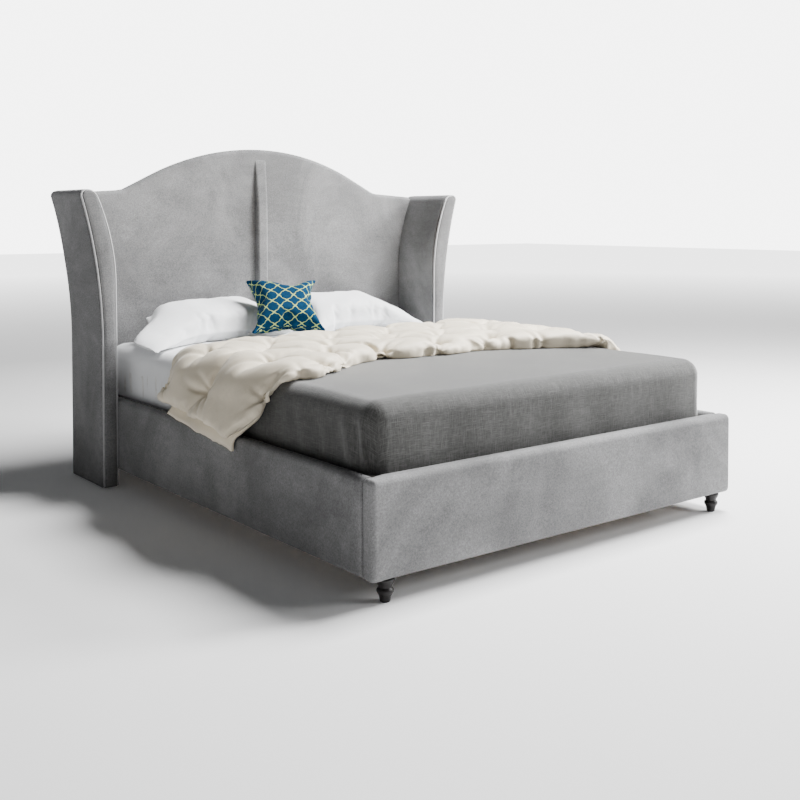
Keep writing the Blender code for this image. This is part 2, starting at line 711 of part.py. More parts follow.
def pillow_shape(size):
    """A crowned pillow with a squarish plan, as a bmesh round its own middle."""
    length, width, depth = size
    squareness = 5.0
    fullness = 0.55
    shape = bmesh.new()
    bmesh.ops.create_uvsphere(shape, u_segments=24, v_segments=12, radius=1.0)
    for vert in shape.verts:
        flat = math.hypot(vert.co.x, vert.co.y)
        if flat < 1e-6:
            vert.co = (0.0, 0.0, vert.co.z * depth / 2)
            continue
        turn_x = vert.co.x / flat
        turn_y = vert.co.y / flat
        reach = (abs(turn_x) ** squareness + abs(turn_y) ** squareness) ** (-1 / squareness)
        spread = reach * flat ** fullness
        vert.co = (turn_x * spread * length / 2, turn_y * spread * width / 2, vert.co.z * depth / 2)
    return shape


def make_pillow(name, middle_x, turn, finish):
    """A pillow that leans back on the sheet, with its rear-most point at the headboard."""
    shape = pillow_shape(PILLOW_SIZE)
    lean = Matrix.Rotation(turn, 3, "Z") @ Matrix.Rotation(PILLOW_TILT, 3, "X")
    leaning = [lean @ vert.co for vert in shape.verts]
    furthest = max(point.y for point in leaning)
    lowest = min(point.z for point in leaning)
    thing = mesh_object(name, shape, finish)
    thing.rotation_euler = lean.to_euler()
    thing.location = (middle_x, INSIDE_HEAD_Y - GAP - furthest, SHEET_TOP + GAP - lowest)
    smooth(thing, 60)


def make_cushion(finish):
    """The throw cushion, leaning on the pillows and turned a little."""
    lean = Matrix.Rotation(CUSHION_TURN, 3, "Z") @ Matrix.Rotation(CUSHION_TILT, 3, "X")
    thing = mesh_object("throw_cushion", pillow_shape(CUSHION_SIZE), finish)
    thing.rotation_euler = lean.to_euler()
    thing.location = CUSHION_PLACE
    smooth(thing, 60)


# --- the bed -------------------------------------------------------------------------------------

def main():
    """Build every piece of the bed."""
    clear_scene()
    bpy.context.scene.collection.children.link(BED)
    bpy.context.scene.collection.children.link(CUTTERS)

    fabric = material("grey_velvet", (0.30, 0.30, 0.31), 0.85)
    piping = material("light_piping", (0.46, 0.46, 0.47), 0.80)
    dust_cloth = material("dust_cloth", (0.10, 0.10, 0.11), 0.90)
    wood = material("plywood", (0.62, 0.47, 0.30), 0.65)
    pine = material("pine", (0.72, 0.55, 0.35), 0.60)
    dark_wood = material("dark_stained_wood", (0.035, 0.028, 0.025), 0.30)
    steel = material("zinc_plated_steel", (0.60, 0.61, 0.63), 0.35, 1.0)
    steel_grey = material("grey_painted_steel", (0.20, 0.20, 0.21), 0.50)
    plastic = material("black_plastic", (0.03, 0.03, 0.03), 0.45)
    ticking = material("mattress_ticking", (0.80, 0.80, 0.79), 0.85)
    white = material("white_cotton", (0.86, 0.87, 0.88), 0.80)
    charcoal = material("charcoal_linen", (0.14, 0.14, 0.15), 0.90)
    cream = material("cream_sateen", (0.72, 0.68, 0.60), 0.65)
    blue = material("blue_trellis_cotton", (0.02, 0.12, 0.30), 0.80)

    make_headboard(fabric, wood, dust_cloth)
    footboard_cover, footboard_board = make_footboard(fabric, wood)
    panel = bpy.data.objects["headboard_panel"]
    front_pad = bpy.data.objects["headboard_front_pad"]
    for side_name, side in (("left", -1), ("right", 1)):
        wing_cover, wing_core = make_wing(side_name, side, fabric, piping, wood, plastic)
        make_wing_bolt(f"wing_bolt_{side_name}_lower", side, 0.30, steel, [panel, wing_cover, wing_core])
        make_wing_bolt(f"wing_bolt_{side_name}_upper", side, 0.80, steel, [panel, wing_cover, wing_core])
        make_side_rail(side_name, side, fabric, wood)
        make_foot(side_name, side, dark_wood, steel, footboard_board)
        make_corner(side_name, side, "foot", INSIDE_FOOT_Y, 1, steel, [footboard_cover, footboard_board])
        make_corner(side_name, side, "head", INSIDE_HEAD_Y, -1, steel, [front_pad, panel])
    make_base(pine, steel_grey)

    make_mattress(ticking)
    make_covers(white, charcoal)
    make_comforter(cream)
    make_pillow("pillow_left", LEFT_PILLOW_X, LEFT_PILLOW_TURN, white)
    make_pillow("pillow_right", RIGHT_PILLOW_X, 0.0, white)
    make_cushion(blue)


main()
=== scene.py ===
"""The looks of an upholstered sleigh bed: velvet, turned feet and made-up bedding round its frame."""

import json
import math

import bmesh
import bpy
import numpy as np
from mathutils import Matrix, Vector


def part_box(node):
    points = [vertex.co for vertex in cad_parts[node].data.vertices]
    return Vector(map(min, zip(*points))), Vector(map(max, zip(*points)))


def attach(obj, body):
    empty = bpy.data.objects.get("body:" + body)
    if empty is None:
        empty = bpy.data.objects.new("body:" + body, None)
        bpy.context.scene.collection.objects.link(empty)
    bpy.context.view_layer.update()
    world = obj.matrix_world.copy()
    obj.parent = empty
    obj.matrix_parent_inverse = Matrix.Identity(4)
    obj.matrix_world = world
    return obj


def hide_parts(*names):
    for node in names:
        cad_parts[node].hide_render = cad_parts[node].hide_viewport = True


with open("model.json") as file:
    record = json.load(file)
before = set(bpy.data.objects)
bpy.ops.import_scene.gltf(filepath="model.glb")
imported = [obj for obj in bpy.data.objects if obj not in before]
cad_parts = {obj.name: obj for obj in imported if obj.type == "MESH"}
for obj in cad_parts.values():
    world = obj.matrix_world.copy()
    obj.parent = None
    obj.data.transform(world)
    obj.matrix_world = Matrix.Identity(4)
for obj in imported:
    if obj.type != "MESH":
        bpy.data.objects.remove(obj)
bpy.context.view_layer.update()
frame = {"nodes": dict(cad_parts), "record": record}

bl_info = {
    "name": "Sleigh Bed Looks",
    "version": (1, 0, 0),
    "blender": (4, 5, 0),
    "location": "View3D > Sidebar > Sleigh Bed",
    "description": "Dresses the packed sleigh bed: upholstery, feet, bedding, finishes and a stage",
    "category": "Object",
}

# Places that come from the frame.
PAD_LOW, PAD_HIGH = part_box("headboard_front_pad")
RIB_LOW, RIB_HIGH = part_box("headboard_rib")
BACK_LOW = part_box("headboard_back_cover")[0]
RAIL_LOW, RAIL_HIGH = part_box("side_rail_right_cover")
BOARD_LOW, BOARD_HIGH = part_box("footboard_cover")
WING_LOW, WING_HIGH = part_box("wing_right_cover")
FACE_LOW, FACE_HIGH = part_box("wing_right_facing")
MATTRESS_LOW, MATTRESS_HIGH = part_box("mattress")
COVERLET_LOW, COVERLET_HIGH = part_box("coverlet")
COMFORTER_LOW, COMFORTER_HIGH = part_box("comforter")
FOOT_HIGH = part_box("foot_right")[1]

# The frame's curves.
CROWN_RADIUS = 1.20
SHOULDER_SLOPE = math.radians(27)
SHOULDER_END_X = 0.669
HOLLOW_RADIUS = 0.10
END_FALL = 0.065
WING_OUTER_X = 0.926
INNER_FLARE_START = 0.87
INNER_FLARE = 0.60
OUTER_FLARE_START = 0.60
OUTER_FLARE = 0.22
WING_CORNER = 0.030
PIPING_RADIUS = 0.0042
CORD_SETBACK = 0.009

# Gaps between neighbouring fabrics.
FABRIC_GAP = 0.0004
RAIL_GAP = 0.0003
WING_GAP = 0.0012

# The cushion's trellis: its pitch, its lobes, how its crossings soften, and its line's edges.
TRELLIS_PITCH = 0.066
TRELLIS_LOBE = 0.62
TRELLIS_SOFTENING = 0.25
TRELLIS_LINE = (0.12, 0.20)

# Weaves, wood and dust cloth.
SLUB_THREADS = 12.0
SLUB_TURNS = 0.35
PORE_FINENESS = 9
BOND_SPOTS = 2600.0
WHITE = (1.0, 1.0, 1.0)

# The least length that the puffing divides by.
TINY = 1e-9


# --- settings ------------------------------------------------------------------------------------

def colour_setting(name, description, default):
    """A colour that a user may change."""
    return bpy.props.FloatVectorProperty(
        name=name, description=description, default=default, size=3, min=0.0, max=1.0, subtype="COLOR")


def length_setting(name, description, default):
    """A length that a user may change."""
    return bpy.props.FloatProperty(
        name=name, description=description, default=default, min=0.0, max=1.0, unit="LENGTH")


class UpholsterySettings(bpy.types.PropertyGroup):
    """Sizes and colours of the upholstered frame."""

    velvet: colour_setting("Velvet", "Colour of the velvet lying flat", (0.215, 0.215, 0.217))
    velvet_light: colour_setting("Brushed velvet", "Colour of the brushed nap", (0.355, 0.355, 0.357))
    piping: colour_setting("Piping", "Colour of the wings' piping", (0.46, 0.46, 0.465))
    edge_round: length_setting("Edge rounding", "Radius of the padded edges", 0.020)
    crown: length_setting("Crown", "How far the padded faces stand out", 0.003)
    rib_height: length_setting("Rib height", "How far the headboard's rib stands out", 0.028)
    foot_wood: colour_setting("Feet", "Colour of the turned feet", (0.006, 0.005, 0.005))


class BeddingSettings(bpy.types.PropertyGroup):
    """Sizes and colours of the bedding."""

    white: colour_setting("White linen", "Colour of the sheet and the pillowcases", (0.80, 0.81, 0.82))
    coverlet_dark: colour_setting("Coverlet warp", "Coverlet's darker thread", (0.042, 0.042, 0.040))
    coverlet_light: colour_setting("Coverlet weft", "Coverlet's lighter thread", (0.160, 0.159, 0.153))
    comforter: colour_setting("Comforter", "Colour of the comforter's sateen", (0.80, 0.715, 0.56))
    trellis_ground: colour_setting("Cushion ground", "Cushion's ground colour", (0.0, 0.030, 0.080))
    trellis_line: colour_setting("Cushion lines", "Colour of the trellis lines", (0.46, 0.60, 0.20))
    mattress_round: length_setting("Mattress rounding", "Radius of the mattress's edges", 0.060)
    top_crown: length_setting("Mattress crown", "How far the mattress's middle stands up", 0.008)
    tuft_spacing: length_setting("Tuft spacing", "Distance between the comforter's tufts", 0.27)


class StageSettings(bpy.types.PropertyGroup):
    """Floor, light and camera."""

    floor: colour_setting("Floor", "Colour of the studio floor", (0.88, 0.88, 0.88))
    camera_turn: bpy.props.FloatProperty(
        name="Camera turn", description="Turn of the camera round the bed",
        default=math.radians(-38.67), subtype="ANGLE")
    camera_tilt: bpy.props.FloatProperty(
        name="Camera tilt", description="How far the camera looks down", default=math.radians(1.9),
        subtype="ANGLE")
    lens: bpy.props.FloatProperty(
        name="Lens", description="Focal length of the camera", default=48.56, min=10.0, max=200.0,
        unit="CAMERA")


# --- mesh tools ----------------------------------------------------------------------------------

def deselect():
    """Leave edit mode and deselect everything."""
    if bpy.context.object is not None and bpy.context.object.mode != "OBJECT":
        bpy.ops.object.mode_set(mode="OBJECT")
    bpy.ops.object.select_all(action="DESELECT")


def activate(piece):
    """Make one piece the only selected one."""
    deselect()
    piece.select_set(True)
    bpy.context.view_layer.objects.active = piece


def get_points(piece):
    """A piece's vertex places as an array."""
    places = np.empty(len(piece.data.vertices) * 3)
    piece.data.vertices.foreach_get("co", places)
    return places.reshape(-1, 3)


def set_points(piece, places):
    """Move a piece's vertices to an array of places."""
    piece.data.vertices.foreach_set("co", np.asarray(places, dtype=np.float64).ravel())
    piece.data.update()


def smoothstep(low, high, value):
    """A soft step from 0 to 1 between two values."""
    share = np.clip((value - low) / (high - low), 0.0, 1.0)
    return share * share * (3 - 2 * share)


def ripple(places, wavelength, seed, waves=8):
    """A slow, even undulation of about -1 to 1: waves in seeded directions."""
    chooser = np.random.default_rng(seed)
    total = np.zeros(len(places))
    for _ in range(waves):
        direction = chooser.normal(size=places.shape[1])
        direction /= np.linalg.norm(direction)
        phase = chooser.uniform(0, math.tau)
        length = wavelength * chooser.uniform(0.7, 1.5)
        total += np.sin(places @ direction * math.tau / length + phase)
    return total / math.sqrt(waves * 2)


def select_by(piece, mode, wanted):
    """Select in edit mode only the edges or faces that a test picks."""
    bpy.ops.mesh.select_mode(type=mode)
    bpy.ops.mesh.select_all(action="DESELECT")
    shape = bmesh.from_edit_mesh(piece.data)
    for part in (shape.edges if mode == "EDGE" else shape.faces):
        part.select_set(wanted(part))
    bmesh.update_edit_mesh(piece.data)


def edge_run(edge):
    """An edge as a vector from end to end."""
    return edge.verts[0].co - edge.verts[1].co


def cell_block(name, cells):
    """A cube of half-size 1 whose edges are cut into the given number of cells along X, Y and Z."""
    deselect()
    bpy.ops.mesh.primitive_cube_add(size=2.0)
    piece = bpy.context.object
    piece.name = name
    piece.data.name = name
    bpy.ops.object.mode_set(mode="EDIT")
    for axis in range(3):
        select_by(piece, "EDGE", lambda edge: abs(edge_run(edge)[axis]) > 0.99 * edge_run(edge).length)
        bpy.ops.mesh.subdivide(number_cuts=cells[axis] - 1)
    bpy.ops.object.mode_set(mode="OBJECT")
    return piece


def rounded(piece, low, high, radii, cells, corner_cells=4):
    """Places, outward directions and flat shares of a cell block formed into a rounded box."""
    share = get_points(piece)
    low = np.array(low, dtype=float)
    high = np.array(high, dtype=float)
    half = (high - low) / 2
    radii = np.minimum(np.array(radii, dtype=float), half * 0.98)
    flat = 1 - 2 * corner_cells / np.array(cells, dtype=float)
    away = np.abs(share)
    side = np.sign(share)
    spread = side * np.minimum(away / flat, 1.0)
    bend = np.clip((away - flat) / (1 - flat), 0.0, 1.0)
    outward = side * np.tan(math.pi / 4 * bend)
    outward /= np.linalg.norm(outward, axis=1)[:, None]
    places = (low + high) / 2 + spread * (half - radii) + radii * outward
    return places, outward, spread


def crowned(places, outward, spread, crown):
    """Push the faces out in their middles, by a different crown along each axis."""
    result = places.copy()
    slack = np.clip(1 - spread ** 2, 0, 1)
    for axis in range(3):
        first, second = [other for other in range(3) if other != axis]
        swell = np.sqrt(slack[:, first] * slack[:, second])
        facing = outward[:, axis]
        result[:, axis] += crown[axis] * swell * np.sign(facing) * facing ** 2
    return result


def apply_all(piece):
    """Apply a piece's modifiers in order."""
    activate(piece)
    for modifier in list(piece.modifiers):
        bpy.ops.object.modifier_apply(modifier=modifier.name)


def shade(piece, angle=None):
    """Shade a piece smooth, with sharp edges past an angle where one is given."""
    activate(piece)
    if angle is None:
        bpy.ops.object.shade_smooth()
    else:
        bpy.ops.object.shade_smooth_by_angle(angle=math.radians(angle))


def loop_vertices(piece):
    """The vertex number at each face corner."""
    index = np.empty(len(piece.data.loops), dtype=np.int32)
    piece.data.loops.foreach_get("vertex_index", index)
    return index


def place_uv(piece, across, along):
    """Give a piece one UV map, in metres, from a pair of values at each vertex."""
    layers = piece.data.uv_layers
    while layers:
        layers.remove(layers[0])
    layer = layers.new(name="cloth")
    index = loop_vertices(piece)
    pairs = np.stack([across[index], along[index]], axis=1)
    layer.data.foreach_set("uv", pairs.astype(np.float32).ravel())


def read_uv(piece):
    """The UV pair at each vertex."""
    pairs = np.empty(len(piece.data.loops) * 2, dtype=np.float32)
    piece.data.uv_layers["cloth"].data.foreach_get("uv", pairs)
    result = np.zeros((len(piece.data.vertices), 2))
    result[loop_vertices(piece)] = pairs.reshape(-1, 2)
    return result


def delete_where(piece, chosen):
    """Delete the vertices that an array of true and false chooses."""
    shape = bmesh.new()
    shape.from_mesh(piece.data)
    shape.verts.ensure_lookup_table()
    gone = [vert for vert in shape.verts if chosen[vert.index]]
    bmesh.ops.delete(shape, geom=gone, context="VERTS")
    shape.to_mesh(piece.data)
    shape.free()


def thicken(piece, thickness):
    """Turn an open surface into cloth of a thickness, outwards."""
    solid = piece.modifiers.new("cloth thickness", "SOLIDIFY")
    solid.thickness = thickness
    solid.offset = 1.0
    apply_all(piece)


def dress(piece, finish, body, node):
    """Give a finished piece its finish and its body, and hide the CAD node it stands for."""
    coat(piece, finish)
    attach(piece, body)
    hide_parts(node)


def inflate(piece, pressure, frames, cap, growth=0.0, pins=None, stiffness=12.0, bending=0.4):
    """Puff a closed form with a pressure simulation and limit how far each point may go."""
    before = get_points(piece)
    activate(piece)
    cloth = piece.modifiers.new("puff", "CLOTH")
    settings = cloth.settings
    settings.quality = 4
    settings.mass = 0.25
    settings.air_damping = 2.0
    settings.tension_stiffness = stiffness
    settings.compression_stiffness = stiffness
    settings.shear_stiffness = stiffness / 2
    settings.bending_stiffness = bending
    settings.use_pressure = True
    settings.uniform_pressure_force = pressure
    settings.shrink_min = -growth
    settings.effector_weights.gravity = 0.0
    cloth.collision_settings.use_collision = False
    cloth.collision_settings.use_self_collision = False
    if pins is not None:
        group = piece.vertex_groups.new(name="tufts")
        group.add([int(index) for index in np.nonzero(pins)[0]], 1.0, "REPLACE")
        settings.vertex_group_mass = "tufts"
    scene = bpy.context.scene
    cloth.point_cache.frame_start = 1
    cloth.point_cache.frame_end = frames
    for number in range(1, frames + 1):
        scene.frame_set(number)
    bpy.ops.object.modifier_apply(modifier=cloth.name)
    scene.frame_set(1)
    moved = get_points(piece) - before
    length = np.linalg.norm(moved, axis=1)
    limit = cap * np.tanh(length / cap)
    share = np.where(length > TINY, limit / np.maximum(length, TINY), 1.0)
    set_points(piece, before + moved * share[:, None])


# --- node tools ----------------------------------------------------------------------------------

class Finish:
    """A Principled material in the making, with short calls for its nodes."""

    def __init__(self, name):
        self.material = bpy.data.materials.new(name)
        self.material.use_nodes = True
        self.tree = self.material.node_tree
        self.shader = self.tree.nodes["Principled BSDF"]
        self.place = self.add("ShaderNodeTexCoord")

    def add(self, kind, inputs=None, **settings):
        """Add a node, set its properties, and fill its inputs with values or links."""
        node = self.tree.nodes.new(kind)
        for name, value in settings.items():
            setattr(node, name, value)
        for name, value in (inputs or {}).items():
            self.fill(node.inputs[name], value)
        return node

    def fill(self, socket, value):
        """Link a socket to another, or set its value."""
        if isinstance(value, bpy.types.NodeSocket):
            self.tree.links.new(value, socket)
        elif isinstance(value, (tuple, list)) and len(value) == 3 and socket.type == "RGBA":
            socket.default_value = (*value, 1.0)
        else:
            socket.default_value = value

    def set(self, **values):
        """Set the shader's sockets by name, in lower case and with underscores for spaces."""
        sockets = {socket.name.lower().replace(" ", "_"): socket for socket in self.shader.inputs}
        for name, value in values.items():
            self.fill(sockets[name], value)
        return self

    def mapped(self, scale=(1.0, 1.0, 1.0), turn=(0.0, 0.0, 0.0), source="Object"):
        """Object or UV coordinates, scaled and turned."""
        inputs = {"Vector": self.place.outputs[source], "Scale": scale, "Rotation": turn}
        return self.add("ShaderNodeMapping", inputs).outputs["Vector"]

    def noise(self, vector, scale, detail=2.0, roughness=0.5, distortion=0.0):
        """A noise value."""
        node = self.add("ShaderNodeTexNoise", {"Vector": vector, "Scale": scale, "Detail": detail,
                                               "Roughness": roughness, "Distortion": distortion})
        return node.outputs["Fac"]

    def math(self, operation, first, second=0.0, clamp=False):
        """One sum on values."""
        node = self.add("ShaderNodeMath", operation=operation, use_clamp=clamp)
        self.fill(node.inputs[0], first)
        self.fill(node.inputs[1], second)
        return node.outputs[0]

    def span(self, value, low, high, to_low=0.0, to_high=1.0):
        """A value spread from one range to another, held inside it."""
        node = self.add("ShaderNodeMapRange", {"Value": value, "From Min": low, "From Max": high,
                                               "To Min": to_low, "To Max": to_high})
        return node.outputs["Result"]

    def blend(self, share, first, second, mode="MIX"):
        """A mix of two colours."""
        node = self.add("ShaderNodeMix", data_type="RGBA", blend_type=mode)
        self.fill(node.inputs["Factor"], share)
        self.fill(node.inputs[6], first)
        self.fill(node.inputs[7], second)
        return node.outputs[2]

    def between(self, value, low, high, first, second):
        """A colour that goes from the first to the second as a value goes from low to high."""
        return self.blend(self.span(value, low, high), first, second)

    def darkened(self, colour, amount, value, low, high, darkest):
        """A colour darkened by an amount where a value is low."""
        return self.blend(amount, colour, self.between(value, low, high, darkest, WHITE), "MULTIPLY")

    def relief(self, *layers):
        """Raise the surface by heights, each with its strength and distance, the lowest layer first."""
        normal = None
        for height, strength, distance in layers:
            inputs = {"Height": height, "Strength": strength, "Distance": distance}
            node = self.add("ShaderNodeBump", inputs)
            if normal is not None:
                self.fill(node.inputs["Normal"], normal)
            normal = node.outputs["Normal"]
        self.fill(self.shader.inputs["Normal"], normal)


def scaled(colour, factor):
    """A colour made lighter or darker."""
    return tuple(min(1.0, part * factor) for part in colour)


def velvet(name):
    """Plush upholstery velvet: brushed patches, fine pile and a soft sheen at grazing angles."""
    settings = bpy.context.scene.upholstery
    finish = Finish(name)
    patches = finish.noise(finish.mapped((1.0, 1.0, 0.8)), 2.6, 4.0, 0.58, 0.7)
    strokes = finish.noise(finish.mapped((6.0, 6.0, 20.0), (0.0, 0.5, 0.3)), 1.4, 3.0, 0.6, 0.5)
    pile = finish.noise(finish.mapped(), 900.0, 2.0, 0.7)
    mottle = finish.noise(finish.mapped(), 170.0, 3.0, 0.75)
    brushed = finish.math("ADD", finish.span(patches, 0.40, 0.62, 0.0, 0.85),
                          finish.span(strokes, 0.35, 0.70, -0.06, 0.16), clamp=True)
    colour = finish.blend(brushed, tuple(settings.velvet), tuple(settings.velvet_light))
    colour = finish.darkened(colour, 0.9, mottle, 0.32, 0.68, (0.55, 0.55, 0.55))
    colour = finish.darkened(colour, 0.8, pile, 0.3, 0.7, (0.50, 0.50, 0.50))
    finish.set(base_color=colour, roughness=0.92, sheen_weight=0.22, sheen_roughness=0.40,
               sheen_tint=(0.88, 0.88, 0.90), specular_ior_level=0.15)
    finish.relief((mottle, 0.35, 0.0022), (pile, 0.45, 0.0007))
    return finish.material


def piping_velvet(name):
    """The lighter, tighter velvet on the piping."""
    settings = bpy.context.scene.upholstery
    finish = Finish(name)
    pile = finish.noise(finish.mapped(), 700.0, 2.0, 0.7)
    wear = finish.noise(finish.mapped(), 30.0, 2.0, 0.6)
    colour = finish.between(wear, 0.3, 0.7, scaled(settings.piping, 0.86), tuple(settings.piping))
    finish.set(base_color=colour, roughness=0.85, sheen_weight=0.6, sheen_roughness=0.4)
    finish.relief((pile, 0.4, 0.0006))
    return finish.material


def lacquered_wood(name):
    """Dark stained turned wood under a glossy lacquer."""
    settings = bpy.context.scene.upholstery
    finish = Finish(name)
    grain = finish.noise(finish.mapped((60.0, 60.0, 5.0)), 1.5, 4.0, 0.6, 0.6)
    dark, light = tuple(settings.foot_wood), scaled(settings.foot_wood, 2.4)
    colour = finish.between(grain, 0.35, 0.68, dark, light)
    rough = finish.span(finish.noise(finish.mapped(), 45.0, 3.0), 0.3, 0.7, 0.34, 0.48)
    finish.set(base_color=colour, roughness=rough, specular_ior_level=0.30, coat_weight=0.08,
               coat_roughness=0.25)
    finish.relief((grain, 0.12, 0.0004))
    return finish.material


def plain_weave(finish, threads):
    """A plain weave's warp and weft values, with a number of threads to the metre, and its place."""
    place = finish.mapped(source="UV")
    parts = finish.add("ShaderNodeSeparateXYZ", {"Vector": place})
    uneven = finish.noise(place, threads / SLUB_THREADS, 2.0, 0.6)
    shift = finish.math("MULTIPLY", finish.math("SUBTRACT", uneven, 0.5), SLUB_TURNS * math.tau)
    waves = []
    for axis in range(2):
        turns = finish.math("MULTIPLY", parts.outputs[axis], threads * math.pi)
        waves.append(finish.math("SINE", finish.math("ADD", turns, shift)))
    return waves[0], waves[1], place


def bed_linen(name):
    """White cotton percale with a fine weave and faint laundry creases."""
    settings = bpy.context.scene.bedding
    finish = Finish(name)
    across, along, place = plain_weave(finish, 900.0)
    weave = finish.math("MULTIPLY", across, along)
    tone = finish.noise(place, 7.0, 3.0, 0.6, 0.4)
    colour = finish.between(tone, 0.35, 0.65, scaled(settings.white, 0.955), tuple(settings.white))
    colour = finish.darkened(colour, 0.35, weave, -1.0, 1.0, (0.9, 0.9, 0.91))
    creases = finish.noise(finish.mapped((1.0, 3.0, 1.0), source="UV"), 9.0, 5.0, 0.62, 1.2)
    finish.set(base_color=colour, roughness=0.82, sheen_weight=0.12, sheen_roughness=0.5)
    finish.relief((weave, 0.18, 0.0003), (creases, 0.32, 0.006))
    return finish.material


def crossed(finish, across, along, detail, roughness):
    """Streaks that run along the cloth, and the same streaks turned to run across it."""
    places = [finish.mapped(stretch, source="UV")
              for stretch in ((across, along, 1.0), (along, across, 1.0))]
    return [finish.noise(place, 1.0, detail, roughness) for place in places]


def chambray(name):
    """Dark grey linen chambray: two-tone slubby threads in both directions."""
    settings = bpy.context.scene.bedding
    finish = Finish(name)
    warp, weft = crossed(finish, 620.0, 34.0, 3.0, 0.65)
    threads = finish.math("MULTIPLY", finish.math("ADD", warp, weft), 0.5)
    slubs = finish.math("MAXIMUM", *crossed(finish, 260.0, 16.0, 3.0, 0.7))
    share = finish.math("ADD", finish.span(threads, 0.38, 0.62, 0.0, 0.60),
                        finish.span(slubs, 0.45, 0.75, -0.20, 0.35), clamp=True)
    colour = finish.blend(share, tuple(settings.coverlet_dark), tuple(settings.coverlet_light))
    cloud = finish.noise(finish.mapped(source="UV"), 5.0, 3.0, 0.6, 0.3)
    colour = finish.darkened(colour, 0.7, cloud, 0.3, 0.7, (0.80, 0.80, 0.80))
    bars = finish.math("MULTIPLY", *crossed(finish, 60.0, 5.0, 4.0, 0.75))
    colour = finish.darkened(colour, 0.9, bars, 0.17, 0.34, (0.74, 0.74, 0.74))
    finish.set(base_color=colour, roughness=0.85, sheen_weight=0.60, sheen_roughness=0.40,
               specular_ior_level=0.30)
    finish.relief((threads, 0.55, 0.0009))
    return finish.material


def sateen(name):
    """Cream cotton sateen: fine ribs, soft shine and faint tone changes."""
    settings = bpy.context.scene.bedding
    finish = Finish(name)
    across, along, place = plain_weave(finish, 700.0)
    strong = finish.math("MULTIPLY", across, 0.75)
    weak = finish.math("MULTIPLY", along, 0.25)
    ribs = finish.math("ADD", strong, weak)
    tone = finish.noise(place, 4.0, 3.0, 0.55, 0.4)
    dull, bright = scaled(settings.comforter, 0.90), scaled(settings.comforter, 1.04)
    colour = finish.between(tone, 0.35, 0.65, dull, bright)
    colour = finish.darkened(colour, 0.35, ribs, -1.0, 1.0, (0.90, 0.90, 0.89))
    crinkle = finish.noise(finish.mapped((1.0, 1.6, 1.0), source="UV"), 26.0, 5.0, 0.6, 1.4)
    finish.set(base_color=colour, roughness=0.55, sheen_weight=0.25, sheen_roughness=0.35,
               specular_ior_level=0.42)
    finish.relief((ribs, 0.12, 0.0003), (crinkle, 0.35, 0.004))
    return finish.material


def trellis_print(name):
    """A quatrefoil trellis in pale lines on deep blue cotton."""
    settings = bpy.context.scene.bedding
    finish = Finish(name)
    place = finish.mapped(source="UV")
    parts = finish.add("ShaderNodeSeparateXYZ", {"Vector": place})
    turn = math.tau / TRELLIS_PITCH
    x = finish.math("MULTIPLY", parts.outputs[0], turn)
    y = finish.math("MULTIPLY", parts.outputs[1], turn)
    sine_x = finish.math("SINE", x)
    sine_y = finish.math("SINE", y)
    both = finish.math("MULTIPLY", sine_x, sine_y)
    square = finish.math("MULTIPLY", both, both)
    bulge = finish.math("MULTIPLY", finish.math("MULTIPLY", square, square), TRELLIS_LOBE)
    lattice = finish.math("ADD", finish.math("COSINE", x), finish.math("COSINE", y))
    wave = finish.math("ADD", lattice, bulge)
    rise_x = finish.math("MULTIPLY", sine_x, sine_x)
    rise_y = finish.math("ADD", finish.math("MULTIPLY", sine_y, sine_y), TRELLIS_SOFTENING)
    steepness = finish.math("SQRT", finish.math("ADD", rise_x, rise_y))
    away = finish.math("DIVIDE", finish.math("ABSOLUTE", wave), steepness)
    line = finish.span(away, *TRELLIS_LINE, 1.0, 0.0)
    across, along, _ = plain_weave(finish, 520.0)
    weave = finish.math("MULTIPLY", across, along)
    blue, pale = settings.trellis_ground, settings.trellis_line
    ground = finish.between(finish.noise(place, 60.0, 3.0, 0.65), 0.3, 0.7,
                            scaled(blue, 0.72), scaled(blue, 1.25))
    ink = finish.between(finish.noise(place, 90.0, 2.0), 0.3, 0.7, scaled(pale, 0.86), tuple(pale))
    colour = finish.blend(line, ground, ink)
    colour = finish.darkened(colour, 0.4, weave, -1.0, 1.0, (0.75, 0.75, 0.75))
    finish.set(base_color=colour, roughness=0.9, specular_ior_level=0.12)
    finish.relief((weave, 0.45, 0.0005))
    return finish.material


WOODS = {
    "planed_pine": ((0.62, 0.43, 0.24), (0.46, 0.28, 0.13), (1.2, 26.0, 26.0)),
    "long_pine": ((0.60, 0.41, 0.23), (0.44, 0.27, 0.12), (26.0, 1.2, 26.0)),
    "bare_plywood": ((0.52, 0.37, 0.22), (0.38, 0.25, 0.13), (26.0, 26.0, 1.2)),
}


def board_wood(name):
    """Planed or sliced wood: its light and dark tones, and the stretch that sets its grain's axis."""
    light, dark, stretch = WOODS[name]
    finish = Finish(name)
    grain = finish.noise(finish.mapped(stretch), 1.6, 6.0, 0.62, 1.6)
    pores = finish.noise(finish.mapped(tuple(part * PORE_FINENESS for part in stretch)), 2.0, 2.0, 0.6)
    colour = finish.between(grain, 0.34, 0.68, light, dark)
    colour = finish.blend(finish.span(pores, 0.55, 0.75, 0.0, 0.35), colour, scaled(dark, 0.6))
    finish.set(base_color=colour, roughness=0.62)
    finish.relief((pores, 0.25, 0.0005))
    return finish.material


def zinc(name):
    """Zinc-plated steel with fine scratches."""
    finish = Finish(name)
    scratches = finish.noise(finish.mapped((30.0, 400.0, 30.0)), 2.0, 3.0)
    bloom = finish.noise(finish.mapped(), 60.0, 3.0)
    colour = finish.between(bloom, 0.3, 0.7, (0.50, 0.51, 0.52), (0.66, 0.66, 0.67))
    finish.set(base_color=colour, metallic=1.0, roughness=finish.span(scratches, 0.3, 0.7, 0.26, 0.48))
    return finish.material


